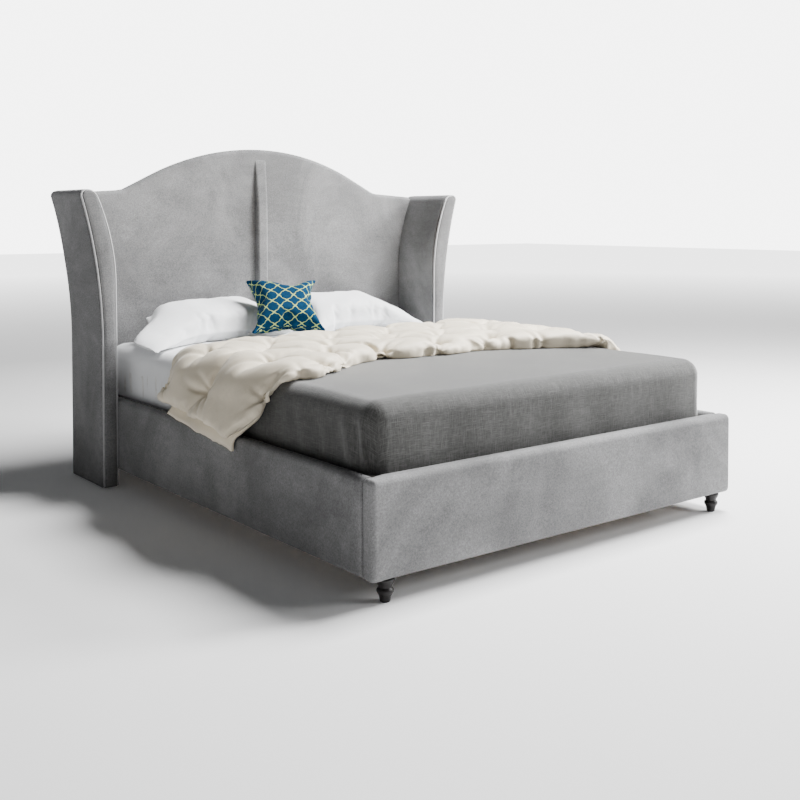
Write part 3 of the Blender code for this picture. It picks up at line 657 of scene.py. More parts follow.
def powder_coat(name):
    """Grey powder-coated steel with a fine orange peel."""
    finish = Finish(name)
    peel = finish.noise(finish.mapped(), 420.0, 2.0)
    tone = finish.noise(finish.mapped(), 12.0, 3.0)
    colour = finish.between(tone, 0.3, 0.7, (0.11, 0.11, 0.115), (0.15, 0.15, 0.155))
    finish.set(base_color=colour, roughness=0.48)
    finish.relief((peel, 0.2, 0.0004))
    return finish.material


def black_plastic(name):
    """Moulded black plastic with a fine texture."""
    finish = Finish(name)
    texture = finish.noise(finish.mapped(), 600.0, 2.0)
    tone = finish.noise(finish.mapped(), 25.0, 2.0)
    colour = finish.between(tone, 0.3, 0.7, (0.014, 0.014, 0.014), (0.026, 0.026, 0.026))
    finish.set(base_color=colour, roughness=finish.span(texture, 0.3, 0.7, 0.40, 0.55))
    finish.relief((texture, 0.2, 0.0002))
    return finish.material


def dust_cloth(name):
    """Thin black non-woven cloth with its spot-bonded grid."""
    finish = Finish(name)
    place = finish.mapped()
    parts = finish.add("ShaderNodeSeparateXYZ", {"Vector": place})
    across, up = [finish.math("SINE", finish.math("MULTIPLY", parts.outputs[axis], BOND_SPOTS))
                  for axis in ("X", "Z")]
    spots = finish.math("MULTIPLY", across, up)
    fibres = finish.noise(place, 260.0, 4.0, 0.7, 0.8)
    colour = finish.between(fibres, 0.3, 0.7, (0.016, 0.016, 0.017), (0.045, 0.045, 0.047))
    finish.set(base_color=colour, roughness=0.93, sheen_weight=0.15, sheen_roughness=0.5)
    height = finish.math("ADD", finish.math("MULTIPLY", spots, 0.4), fibres)
    finish.relief((height, 0.5, 0.0006))
    return finish.material


def ticking(name):
    """Woven mattress ticking: a soft damask of small waves."""
    finish = Finish(name)
    weave = finish.noise(finish.mapped((260.0, 260.0, 40.0)), 1.0, 3.0)
    figure = finish.noise(finish.mapped(), 22.0, 2.0, 0.5, 1.5)
    colour = finish.between(figure, 0.46, 0.54, (0.66, 0.66, 0.65), (0.74, 0.74, 0.73))
    finish.set(base_color=colour, roughness=0.8, sheen_weight=0.1, sheen_roughness=0.5)
    finish.relief((weave, 0.4, 0.0007))
    return finish.material


def floor_paint(name):
    """The pale studio floor, with a painted glow that brightens evenly into its far distance."""
    finish = Finish(name)
    tone = finish.noise(finish.mapped(), 0.8, 2.0)
    floor = tuple(bpy.context.scene.stage.floor)
    far = finish.add("ShaderNodeVectorMath", {0: finish.mapped()}, operation="LENGTH").outputs["Value"]
    # Painted glow: the floor's emission is faint near the bed and strong far out, so the floor fades
    # into the white backdrop.
    finish.set(base_color=finish.between(tone, 0.3, 0.7, scaled(floor, 0.985), floor),
               roughness=0.9, specular_ior_level=0.1, emission_color=WHITE,
               emission_strength=finish.span(far, 5.0, 18.0, 0.03, 3.4))
    return finish.material


FINISH_MAKERS = {
    "grey_velvet": velvet,
    "light_piping": piping_velvet,
    "dark_lacquer": lacquered_wood,
    "white_cotton": bed_linen,
    "charcoal_linen": chambray,
    "cream_sateen": sateen,
    "blue_trellis": trellis_print,
    "planed_pine": board_wood,
    "long_pine": board_wood,
    "bare_plywood": board_wood,
    "zinc_plate": zinc,
    "grey_powder_coat": powder_coat,
    "moulded_plastic": black_plastic,
    "black_dust_cloth": dust_cloth,
    "mattress_ticking": ticking,
    "studio_floor": floor_paint,
}
FINISHES = {}


def coat(piece, name):
    """Give a piece one finish, which is made on its first use."""
    if name not in FINISHES:
        FINISHES[name] = FINISH_MAKERS[name](name)
    piece.data.materials.clear()
    piece.data.materials.append(FINISHES[name])


def upholster(piece, node):
    """Shade a padded piece of the frame and cover it in velvet."""
    shade(piece)
    dress(piece, "grey_velvet", "frame", node)


# --- headboard -----------------------------------------------------------------------------------

def inner_edge(height):
    """Where a wing's inner face stands across the bed at a height."""
    return RAIL_HIGH.x + RAIL_GAP + INNER_FLARE * np.maximum(0.0, height - INNER_FLARE_START) ** 2


def outer_edge(height):
    """Where a wing's outer face stands across the bed at a height."""
    return WING_OUTER_X + OUTER_FLARE * np.maximum(0.0, height - OUTER_FLARE_START) ** 2


def crown_height(across):
    """The headboard's top edge: crown arc, straight shoulder, hollow arc, gently falling end."""
    away = np.abs(across)
    crest = PAD_HIGH.z
    crown_end = CROWN_RADIUS * math.sin(SHOULDER_SLOPE)
    crown = crest - CROWN_RADIUS + np.sqrt(np.maximum(CROWN_RADIUS ** 2 - away ** 2, 0.01))
    shoulder_top = crest - CROWN_RADIUS * (1 - math.cos(SHOULDER_SLOPE))
    slope = shoulder_top - (np.minimum(away, SHOULDER_END_X) - crown_end) * math.tan(SHOULDER_SLOPE)
    run = HOLLOW_RADIUS * math.sin(SHOULDER_SLOPE)
    remaining = run - np.clip(away - SHOULDER_END_X, 0.0, run)
    full_drop = HOLLOW_RADIUS * (1 - math.cos(SHOULDER_SLOPE))
    rise = HOLLOW_RADIUS - np.sqrt(HOLLOW_RADIUS ** 2 - remaining ** 2)
    fall = END_FALL * np.maximum(away - SHOULDER_END_X, 0.0)
    return np.where(away <= crown_end, crown, slope - (full_drop - rise) - fall)


def build_headboard():
    """The padded headboard cover, wrapped over its top edge, and the tapering rib."""
    settings = bpy.context.scene.upholstery
    cells = (120, 12, 72)
    piece = cell_block("headboard_cover", cells)
    spring = WING_HIGH.z - WING_CORNER
    half = PAD_HIGH.x
    low = (-half, PAD_LOW.y, PAD_LOW.z)
    high = (half, BACK_LOW.y - FABRIC_GAP, PAD_HIGH.z)
    places, outward, spread = rounded(piece, low, high, (0.010, settings.edge_round, 0.022), cells)
    places = crowned(places, outward, spread, (0.0, settings.crown, 0.0))
    front = outward[:, 1] < -0.5
    wave_height = 0.0012
    places[front, 1] += wave_height * ripple(places[front][:, [0, 2]], 0.55, 3)
    share = (places[:, 2] - PAD_LOW.z) / (PAD_HIGH.z - PAD_LOW.z)
    across = places[:, 0] / half
    up = PAD_LOW.z + share * (crown_height(places[:, 0]) - PAD_LOW.z)
    for _ in range(3):
        reach = inner_edge(np.minimum(up, spring)) - WING_GAP
        x = across * reach
        up = PAD_LOW.z + share * (crown_height(x) - PAD_LOW.z)
    set_points(piece, np.stack([x, places[:, 1], up], axis=1))
    upholster(piece, "headboard_front_pad")
    build_rib(settings)


def build_rib(settings):
    """The raised rib down the middle, fading out just under the crest."""
    cells = (16, 10, 60)
    piece = cell_block("headboard_pleat", cells)
    top = RIB_HIGH.z
    sink = 0.004
    fade_length = 0.26
    base = PAD_LOW.y + sink
    low = (RIB_LOW.x, base - settings.rib_height - sink, RIB_LOW.z)
    high = (RIB_HIGH.x, base, top)
    places, _, _ = rounded(piece, low, high, (0.013, 0.012, 0.010), cells)
    taper = np.clip((top - places[:, 2]) / fade_length, 0.0, 1.0) ** 0.6
    places[:, 1] = base + (places[:, 1] - base) * (0.06 + 0.94 * taper)
    set_points(piece, places)
    upholster(piece, "headboard_rib")


# --- wings ---------------------------------------------------------------------------------------

def flare(places, side):
    """Bend an upright block between 0 and 1 across into a wing on one side."""
    height = np.minimum(places[:, 2], WING_HIGH.z)
    inner = inner_edge(height)
    outer = outer_edge(height)
    result = places.copy()
    result[:, 0] = side * (inner + places[:, 0] * (outer - inner))
    return result


def wing_section(count, inset):
    """A wing's outline, as shares across and heights, from its inner floor edge to its outer one."""
    thick = WING_OUTER_X - RAIL_HIGH.x
    edge = inset / thick
    corner = WING_CORNER - inset
    corner_share = corner / thick
    spring = WING_HIGH.z - inset - corner
    bottom = FACE_LOW.z + 0.002
    rising = np.linspace(bottom, spring, count)
    turn = np.linspace(0, math.pi / 2, 12)[1:]
    inner = [(edge, height) for height in rising]
    arch_in = [(edge + corner_share * (1 - math.cos(angle)), spring + corner * math.sin(angle))
               for angle in turn]
    arch_out = [(1 - share, height) for share, height in reversed(arch_in)]
    outer = [(1 - share, height) for share, height in reversed(inner)]
    return np.array(inner + arch_in + arch_out + outer)


def build_wing(side_name, side):
    """One wing's padded cover, its front facing and the piping round the facing."""
    settings = bpy.context.scene.upholstery
    thick = WING_OUTER_X - RAIL_HIGH.x
    cells = (18, 40, 84)
    piece = cell_block(f"wing_cover_{side_name}", cells)
    sink = 0.03
    rear_run = 0.05
    rear_fall = 0.003
    low = (0.0, FACE_HIGH.y - 0.004, WING_LOW.z - sink)
    high = (thick, WING_HIGH.y, WING_HIGH.z)
    places, outward, spread = rounded(piece, low, high, (WING_CORNER, 0.014, WING_CORNER), cells, 5)
    places = crowned(places, outward, spread, (settings.crown, 0.0, 0.0))
    places[:, 0] += outward[:, 0] * 0.0008 * ripple(places[:, 1:], 0.30, 11 + side)
    places[:, 0] /= thick
    rear = np.clip((places[:, 1] - (WING_HIGH.y - rear_run)) / rear_run, 0.0, 1.0)
    near_top = smoothstep(WING_HIGH.z - 0.10, WING_HIGH.z, places[:, 2])
    places[:, 2] -= rear_fall * near_top * rear ** 2
    places[:, 2] = np.maximum(places[:, 2], WING_LOW.z)
    set_points(piece, flare(places, side))
    mend_normals(piece)
    upholster(piece, f"wing_{side_name}_cover")

    cells = (20, 8, 84)
    inset = 2 * PIPING_RADIUS - 0.0015
    face = cell_block(f"wing_face_{side_name}", cells)
    low = (inset, FACE_LOW.y + 0.001, FACE_LOW.z - sink)
    high = (thick - inset, FACE_HIGH.y, WING_HIGH.z - inset)
    places, outward, spread = rounded(face, low, high, (0.005, 0.005, 0.003), cells, 3)
    places = crowned(places, outward, spread, (0.0, 0.0030, 0.0))
    half = thick / 2 - inset
    corner = half * 0.95
    into = np.clip(places[:, 2] - (high[2] - corner), 0.0, corner)
    narrow = (half - corner + np.sqrt(corner ** 2 - into ** 2)) / half
    places[:, 0] = thick / 2 + (places[:, 0] - thick / 2) * np.maximum(narrow, 0.05)
    places[:, 0] /= thick
    places[:, 2] = np.maximum(places[:, 2], FACE_LOW.z)
    set_points(face, flare(places, side))
    mend_normals(face)
    upholster(face, f"wing_{side_name}_facing")

    route = wing_section(70, PIPING_RADIUS)
    middle_y = FACE_HIGH.y - CORD_SETBACK
    line = np.stack([route[:, 0], np.full(len(route), middle_y), route[:, 1]], axis=1)
    cord = round_cord(f"wing_cord_{side_name}", flare(line, side), PIPING_RADIUS)
    dress(cord, "light_piping", "frame", f"wing_{side_name}_piping")


def mend_normals(piece, merge=None):
    """Point a closed piece's faces outwards, once its doubles within a distance are merged."""
    activate(piece)
    bpy.ops.object.mode_set(mode="EDIT")
    bpy.ops.mesh.select_all(action="SELECT")
    if merge is not None:
        bpy.ops.mesh.remove_doubles(threshold=merge)
    bpy.ops.mesh.normals_make_consistent(inside=False)
    bpy.ops.object.mode_set(mode="OBJECT")


def round_cord(name, points, radius):
    """A round cord along points, as a closed mesh at the origin."""
    data = bpy.data.curves.new(name, "CURVE")
    data.dimensions = "3D"
    data.bevel_depth = radius
    data.bevel_resolution = 3
    data.use_fill_caps = True
    spline = data.splines.new("POLY")
    spline.points.add(len(points) - 1)
    for point, place in zip(spline.points, points):
        point.co = (*place, 1.0)
    cord = bpy.data.objects.new(name, data)
    bpy.context.scene.collection.objects.link(cord)
    activate(cord)
    bpy.ops.object.convert(target="MESH")
    cord = bpy.context.object
    cord.name = name
    mend_normals(cord, merge=0.00002)
    shade(cord, 50)
    return cord


# --- rails, footboard, feet ----------------------------------------------------------------------

def build_rails():
    """The two padded side rails and the padded footboard."""
    settings = bpy.context.scene.upholstery
    top_wave, side_wave, front_wave = 0.0010, 0.0012, 0.0014
    for side_name, seed in (("left", 21), ("right", 22)):
        low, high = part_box(f"side_rail_{side_name}_cover")
        cells = (14, 90, 30)
        piece = cell_block(f"rail_cover_{side_name}", cells)
        places, outward, spread = rounded(piece, low, high, (0.022, 0.006, 0.021), cells)
        places = crowned(places, outward, spread, (settings.crown, 0.0, 0.0))
        lift = np.clip(outward[:, 2], 0, 1)
        places[:, 2] += top_wave * lift * ripple(places[:, 1:2], 0.42, seed)
        places[:, 0] += side_wave * outward[:, 0] * ripple(places[:, 1:], 0.45, seed + 4)
        set_points(piece, places)
        upholster(piece, f"side_rail_{side_name}_cover")

    cells = (84, 16, 30)
    piece = cell_block("footboard_padding", cells)
    places, outward, spread = rounded(piece, BOARD_LOW, BOARD_HIGH, (0.013, 0.022, 0.021), cells)
    places = crowned(places, outward, spread, (0.0, settings.crown, 0.0))
    front = np.clip(-outward[:, 1], 0, 1)
    places[:, 1] -= front_wave * front * ripple(places[:, [0, 2]], 0.48, 31)
    rail_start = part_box("side_rail_right_cover")[0].y
    notch = smoothstep(RAIL_LOW.x - 0.012, RAIL_LOW.x, np.abs(places[:, 0]))
    depth = BOARD_HIGH.y - BOARD_LOW.y
    squeeze = 1 - notch * (1 - (rail_start - FABRIC_GAP - BOARD_LOW.y) / depth)
    places[:, 1] = BOARD_LOW.y + (places[:, 1] - BOARD_LOW.y) * squeeze
    set_points(piece, places)
    upholster(piece, "footboard_cover")


def build_feet():
    """The two turned front feet: flared cup, waist, bead and toe."""
    height = FOOT_HIGH.z
    blank = 0.02
    turnings = np.array([
        (0.0000, 0.0150), (0.0015, 0.0160), (0.0090, 0.0167), (0.0165, 0.0185), (0.0235, 0.0216),
        (0.0285, 0.0250), (0.0335, 0.0262), (0.0385, 0.0250), (0.0415, 0.0225), (0.0432, 0.0206),
        (0.0450, 0.0204), (0.0500, 0.0216), (0.0560, 0.0248), (0.0610, 0.0276), (0.0655, 0.0292),
        (0.0690, 0.0294), (0.0702, 0.0286), (height, 0.0284),
    ])
    for side_name in ("left", "right"):
        low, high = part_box(f"foot_{side_name}")
        middle = (low + high) / 2
        deselect()
        bpy.ops.mesh.primitive_cylinder_add(vertices=48, radius=blank, depth=height,
                                            location=(middle.x, middle.y, height / 2))
        piece = bpy.context.object
        piece.name = f"turned_foot_{side_name}"
        bpy.ops.object.mode_set(mode="EDIT")
        select_by(piece, "FACE", lambda face: abs(face.normal.z) > 0.9)
        bpy.ops.mesh.inset(thickness=0.004)
        select_by(piece, "EDGE", lambda edge: abs(edge_run(edge).z) > 0.5 * height)
        bpy.ops.mesh.subdivide(number_cuts=58)
        bpy.ops.object.mode_set(mode="OBJECT")
        activate(piece)
        bpy.ops.object.transform_apply(location=True, rotation=True, scale=True)
        places = get_points(piece)
        axis = np.array([middle.x, middle.y])
        scale = np.interp(places[:, 2], turnings[:, 0], turnings[:, 1]) / blank
        places[:, :2] = axis + (places[:, :2] - axis) * scale[:, None]
        set_points(piece, places)
        shade(piece, 40)
        dress(piece, "dark_lacquer", "frame", f"foot_{side_name}")


# --- mattress, sheet, coverlet -------------------------------------------------------------------

SHEET_EDGE_RAISE = 0.049
COVERLET_SKIN = 0.0042


def top_crown(places):
    """How much higher the bed's top stands at each place than at its edges."""
    middle = (MATTRESS_LOW + MATTRESS_HIGH) / 2
    half = (MATTRESS_HIGH - MATTRESS_LOW) / 2
    across = np.clip(np.abs(places[:, 0] - middle.x) / half.x, 0, 1)
    along = np.clip(np.abs(places[:, 1] - middle.y) / half.y, 0, 1)
    return bpy.context.scene.bedding.top_crown * (1 - across ** 2.5) * (1 - along ** 4)


def cloth_uv(piece, top_z, half_x, foot_y):
    """Unfold a cover over the mattress into flat cloth coordinates in metres."""
    places = get_points(piece)
    drop = np.maximum(top_z - places[:, 2], 0.0)
    on_side = np.abs(places[:, 0]) > half_x - 0.03
    on_foot = (places[:, 1] < foot_y + 0.03) & ~on_side
    across = places[:, 0] + np.where(on_side, np.sign(places[:, 0]) * drop, 0.0)
    along = places[:, 1] - np.where(on_foot, drop, 0.0)
    place_uv(piece, across, along)


def build_mattress():
    """The mattress body with its two taped edges."""
    settings = bpy.context.scene.bedding
    quilt_pitch = 0.20
    quilt_depth = 0.0015
    inset = 0.006
    low = np.array(MATTRESS_LOW) + (inset, inset, 0.0)
    high = np.array(MATTRESS_HIGH) - (inset, inset, 0.004)
    cells = (48, 60, 16)
    piece = cell_block("mattress_body", cells)
    radius = settings.mattress_round - inset
    places, outward, _ = rounded(piece, low, high, (radius, radius, 0.050), cells)
    top = outward[:, 2] > 0.3
    places[:, 2] += np.where(top, top_crown(places), 0.0)
    turns = math.tau / quilt_pitch
    quilt = np.sin(places[:, 0] * turns) * np.sin(places[:, 1] * turns)
    dip = quilt_depth * np.abs(outward[:, 2]) * (1 - quilt)
    places[:, 2] -= np.where(outward[:, 2] < -0.9, 0.0, dip)
    set_points(piece, places)
    shade(piece)
    place_uv(piece, places[:, 0], places[:, 1])
    dress(piece, "mattress_ticking", "mattress", "mattress")


def swell(places):
    """The sheet's loose fold between the comforter and the cushion."""
    height = 0.024
    reach = 0.055
    along = np.exp(-((places[:, 1] - COMFORTER_HIGH.y - reach) / reach) ** 2)
    across = smoothstep(-0.62, -0.25, places[:, 0]) * smoothstep(0.70, 0.40, places[:, 0])
    return height * along * across


def build_sheet():
    """The white fitted sheet: smooth on top, with soft upright creases on its sides near the head."""
    settings = bpy.context.scene.bedding
    low_edge = MATTRESS_LOW.z + SHEET_EDGE_RAISE
    inset = 0.0022
    low = np.array([MATTRESS_LOW.x + inset, MATTRESS_LOW.y + inset, low_edge - settings.mattress_round])
    high = np.array([MATTRESS_HIGH.x - inset, MATTRESS_HIGH.y - inset, MATTRESS_HIGH.z + 0.0005])
    cells = (90, 130, 26)
    piece = cell_block("sheet_fitted", cells)
    radius = settings.mattress_round
    places, outward, _ = rounded(piece, low, high, (radius, radius, radius), cells, 5)
    places[:, 2] += np.where(outward[:, 2] > 0.0, top_crown(places) * outward[:, 2], 0.0)
    open_head = smoothstep(COVERLET_HIGH.y - 0.06, COVERLET_HIGH.y + 0.04, places[:, 1])
    side = np.abs(outward[:, 0])
    drop = smoothstep(MATTRESS_HIGH.z - 0.02, MATTRESS_HIGH.z - 0.12, places[:, 2])
    run = places[:, 1:2] + 0.10 * (MATTRESS_HIGH.z - places[:, 2:3])
    crease = ripple(run, 0.085, 5, 6) + 0.7 * ripple(run, 0.045, 6, 5)
    inside_rail = 0.35 + 0.65 * smoothstep(RAIL_HIGH.z - 0.01, RAIL_HIGH.z + 0.03, places[:, 2])
    hang = 0.0030 * crease * (0.25 + 0.75 * drop) - 0.004 * drop
    places[:, 0] += np.sign(outward[:, 0]) * side ** 2 * open_head * inside_rail * hang
    flat = np.clip(outward[:, 2], 0, 1)
    places[:, 2] += flat * open_head * 0.0022 * ripple(places[:, :2], 0.22, 8)
    places[:, 2] += flat * swell(places)
    set_points(piece, places)
    delete_where(piece, places[:, 2] < low_edge - 0.004)
    cloth_uv(piece, MATTRESS_HIGH.z, MATTRESS_HIGH.x, MATTRESS_LOW.y)
    thicken(piece, 0.0012)
    shade(piece)
    dress(piece, "white_cotton", "mattress", "fitted_sheet")


def build_coverlet():
    """The dark coverlet over the foot part, tucked inside the rails, with its lapped foot corners."""
    settings = bpy.context.scene.bedding
    low_edge = COVERLET_LOW.z
    radius = settings.mattress_round + 0.002
    foot = COVERLET_LOW.y + COVERLET_SKIN
    side_x = COVERLET_HIGH.x - COVERLET_SKIN
    top = COVERLET_HIGH.z - COVERLET_SKIN
    head = COVERLET_HIGH.y
    low = np.array([-side_x, foot, low_edge - radius])
    high = np.array([side_x, head + radius, top])
    cells = (104, 104, 60)
    piece = cell_block("coverlet_cloth", cells)
    places, outward, _ = rounded(piece, low, high, (radius, radius, radius), cells, 16)
    places[:, 2] += np.where(outward[:, 2] > 0.0, top_crown(places) * outward[:, 2] ** 2, 0.0)
    above_rail = smoothstep(RAIL_HIGH.z - 0.02, RAIL_HIGH.z + 0.03, places[:, 2])
    drop = smoothstep(top - 0.02, top - 0.11, places[:, 2])
    side = np.clip(np.abs(outward[:, 0]), 0, 1) ** 2
    front = np.clip(-outward[:, 1], 0, 1) ** 2
    side_run = places[:, 1:2] + 0.25 * (top - places[:, 2:3])
    front_run = places[:, 0:1] + 0.10 * (top - places[:, 2:3])
    near_corner = np.exp(-((places[:, 1] - foot) / 0.34) ** 2)
    folds = ripple(side_run, 0.24, 41, 5) + 1.3 * near_corner * ripple(side_run, 0.085, 42, 5)
    side_fold, front_fold = 0.0030, 0.0028
    places[:, 0] += np.sign(outward[:, 0]) * side * drop * above_rail * side_fold * folds
    places[:, 1] -= front * drop * above_rail * front_fold * ripple(front_run, 0.30, 43, 5)
    lap_corners(places, outward, top, above_rail)
    flat = np.clip(outward[:, 2], 0, 1) ** 2
    places[:, 2] += flat * (0.0014 * ripple(places[:, :2], 0.35, 47) + 0.0008)
    set_points(piece, places)
    gone = (places[:, 2] < low_edge - 0.001) | (places[:, 1] > head - 0.0005)
    delete_where(piece, gone)
    cloth_uv(piece, COVERLET_HIGH.z, side_x, foot)
    thicken(piece, 0.0030)
    shade(piece)
    dress(piece, "charcoal_linen", "coverlet", "coverlet")


def lap_corners(places, outward, top, above_rail):
    """Each foot corner's tuck: the side's cloth laps over the front's, with a soft, curved edge."""
    tuck_height = 0.24
    lap_rise, lip_rise, tuck_dip = 0.0052, 0.0020, 0.0010
    turn = np.degrees(np.arctan2(np.clip(-outward[:, 1], 0, 1), np.abs(outward[:, 0])))
    height = top - places[:, 2]
    bow = np.sin(np.clip(height / tuck_height, 0, 1) * math.pi)
    edge = 30.0 - 14.0 * bow + 10.0 * smoothstep(0.10, tuck_height, height)
    upright = np.clip(1.3 * np.hypot(outward[:, 0], outward[:, 1]) - 0.3, 0, 1)
    hanging = smoothstep(0.035, 0.085, height) * (0.25 + 0.75 * above_rail)
    strength = upright * (outward[:, 1] < 0) * hanging
    past = turn - edge
    lapped = smoothstep(-42.0, -4.0, past) * (past <= 0)
    lip = np.exp(-((past + 3.0) / 4.0) ** 2) * (past <= 0)
    tucked = np.where(past > 0, np.exp(-(past / 26.0) ** 2), 0.0)
    push = strength * (lap_rise * lapped + lip_rise * lip - tuck_dip * tucked)
    places[:, 0] += outward[:, 0] * push
    places[:, 1] += outward[:, 1] * push


# --- comforter -----------------------------------------------------------------------------------

COMFORTER_GAP = 0.002
REAR_SHIFT = 2.4
PATH_POINTS = 900
PATH_SOFTENING = 13
PATH_STEP = 6
HEM_START = 0.048
HEM_SLANT = 0.050
TUFT_RADIUS = 0.011


def comforter_path():
    """The comforter's underside, as points across and up, from its left hem to its right one."""
    side_x = COVERLET_HIGH.x + COMFORTER_GAP
    top = COVERLET_HIGH.z + COMFORTER_GAP
    outside = RAIL_HIGH.x + 0.006
    rail = RAIL_HIGH.z
    left = [
        (-outside, COMFORTER_LOW.z - 0.024), (-outside, rail - 0.004), (-outside + 0.010, rail + 0.012),
        (-side_x - 0.012, rail + 0.090), (-side_x, top - 0.060), (-side_x + 0.012, top - 0.020),
        (-side_x + 0.045, top), (-0.50, top + 0.004), (0.0, top + 0.008),
    ]
    right = [(-across, up) for across, up in reversed(left[:-1])]
    corners = np.array(left + right)
    length = arc_length(corners)
    fine = np.linspace(0, length[-1], PATH_POINTS)
    path = np.stack([np.interp(fine, length, corners[:, axis]) for axis in range(2)], axis=1)
    kernel = np.hanning(2 * PATH_SOFTENING + 1)
    kernel /= kernel.sum()
    for axis in range(2):
        padded_line = np.pad(path[:, axis], PATH_SOFTENING, mode="reflect", reflect_type="odd")
        path[:, axis] = np.convolve(padded_line, kernel, mode="valid")
    return path


def arc_length(points):
    """The length along a line up to each of its points."""
    return np.concatenate([[0], np.cumsum(np.linalg.norm(np.diff(points, axis=0), axis=1))])


def path_frame(path):
    """Arc length and outward directions along the comforter's path."""
    length = arc_length(path)
    tangent = np.gradient(path, axis=0)
    tangent /= np.linalg.norm(tangent, axis=1)[:, None]
    outward = np.stack([-tangent[:, 1], tangent[:, 0]], axis=1)
    return length, outward


def comforter_edges(across):
    """The comforter's front and rear edges along the bed, at places across it."""
    foot = BOARD_LOW.y
    front_x = (-0.90, -0.87, -0.83, -0.78, -0.68, -0.54, -0.36, -0.24,
               -0.12, 0.05, 0.20, 0.38, 0.58, 0.74, 0.84, 0.90)
    front_y = (0.845, 0.775, 0.665, 0.580, 0.565, 0.64, 0.745, 0.80,
               0.755, 0.735, 0.755, 0.715, 0.63, 0.54, 0.53, 0.56)
    rear_x = (-0.90, -0.80, -0.66, -0.40, 0.0, 0.40, 0.90)
    rear_y = (1.475, 1.39, 1.40, 1.455, 1.485, 1.490, 1.460)
    return foot + np.interp(across, front_x, front_y), foot + np.interp(across, rear_x, rear_y)


def quilt_layer(name, path, start, end, front_shift, thickness, lift, columns, rows):
    """A flat layer of the comforter, bent along its path and thickened, with its UV map in metres."""
    length, normals = path_frame(path)
    deselect()
    bpy.ops.mesh.primitive_grid_add(x_subdivisions=columns, y_subdivisions=rows, size=2.0)
    piece = bpy.context.object
    piece.name = name
    share = get_points(piece)
    u = (share[:, 0] + 1) / 2
    v = (share[:, 1] + 1) / 2
    hem = start + HEM_SLANT * v
    run = hem + u * (end - hem)
    across = np.interp(run, length, path[:, 0])
    up = np.interp(run, length, path[:, 1])
    out_x = np.interp(run, length, normals[:, 0])
    out_z = np.interp(run, length, normals[:, 1])
    front, rear = comforter_edges(across)
    front = front + front_shift
    rear = rear - REAR_SHIFT * front_shift
    along = front + (rear - front) * v
    far_end = smoothstep(1.3, 2.0, run) * smoothstep(end - 0.02, end - 0.35, run)
    rise = lift * (0.35 + 0.65 * smoothstep(0.55, 0.15, run) + 1.4 * far_end) if lift > 0.01 else lift
    set_points(piece, np.stack([across + out_x * rise, along, up + out_z * rise], axis=1))
    place_uv(piece, run, along)
    thicken(piece, thickness)
    mend_normals(piece)
    return piece


def build_comforter():
    """The tufted comforter: puffed between tufts, pressed on to the bed, doubled at its near end."""
    settings = bpy.context.scene.bedding
    path = comforter_path()
    length, _ = path_frame(path)
    width = length[-1]
    piece = quilt_layer("comforter_quilt", path, start=HEM_START, end=width, front_shift=0.0,
                        thickness=0.020, lift=0.014, columns=152, rows=58)
    uv = read_uv(piece)
    tufts = tuft_places(width, settings.tuft_spacing)
    hems = hem_tufts(path, width, settings.tuft_spacing)
    gap = nearest_gap(uv, np.concatenate([tufts, hems]))
    inflate(piece, pressure=6.5, frames=20, cap=0.046, growth=0.09, stiffness=6.0, bending=0.08,
            pins=gap < TUFT_RADIUS)
    smooth_up(piece)
    uv = read_uv(piece)
    pucker(piece, uv, tufts, strength=0.0100, reach=0.090)
    pucker(piece, uv, hems, strength=0.0080, reach=0.075)
    frill_hem(piece, uv, path, width)
    press_on_bed(piece, path, floor_height=0.0008)
    under = quilt_layer("comforter_under", path, start=0.016, end=0.42, front_shift=0.045,
                        thickness=0.009, lift=0.002, columns=34, rows=52)
    ruffle_under(under, read_uv(under))
    press_on_bed(under, path, floor_height=0.0006)
    activate(under)
    piece.select_set(True)
    bpy.context.view_layer.objects.active = piece
    bpy.ops.object.join()
    shade(piece)
    dress(piece, "cream_sateen", "comforter", "comforter")


def smooth_up(piece):
    """Subdivide a piece's faces once, smoothly."""
    finer = piece.modifiers.new("finer", "SUBSURF")
    finer.levels = 1
    finer.render_levels = 1
    finer.boundary_smooth = "PRESERVE_CORNERS"
    apply_all(piece)


def nearest_gap(uv, points):
    """The distance on the flat cloth from each vertex to the nearest of some points."""
    gap = np.full(len(uv), 1.0)
    for point in points:
        gap = np.minimum(gap, np.linalg.norm(uv - point, axis=1))
    return gap


def tuft_places(width, spacing):
    """Tuft points on the flat comforter, staggered row by row, and seeded a little off their grid."""
    chooser = np.random.default_rng(17)
    foot = BOARD_LOW.y
    places = []
    row = 0
    first_row, last_row, row_share = 0.66, 1.46, 0.66
    left_margin, right_margin = 0.20, 0.08
    along = foot + first_row
    while along < foot + last_row:
        across = left_margin + spacing / 2 * (row % 2)
        while across < width - right_margin:
            places.append((across + chooser.uniform(-0.03, 0.03), along + chooser.uniform(-0.02, 0.02)))
            across += spacing
        along += spacing * row_share
        row += 1
    return np.array(places)


def hem_tufts(path, width, spacing):
    """Points on both long hems where the comforter is drawn in."""
    length, _ = path_frame(path)
    places = []
    for start, front_hem in ((0.33, True), (0.20, False)):
        run = start
        while run < width - 0.10:
            front, rear = comforter_edges(np.interp(run, length, path[:, 0]))
            places.append((run, float(front if front_hem else rear)))
            run += spacing * (0.92 if front_hem else 0.80)
    return np.array(places)


def point_normals(piece):
    """The vertex normals as an array."""
    normals = np.empty(len(piece.data.vertices) * 3)
    piece.data.vertices.foreach_get("normal", normals)
    return normals.reshape(-1, 3)


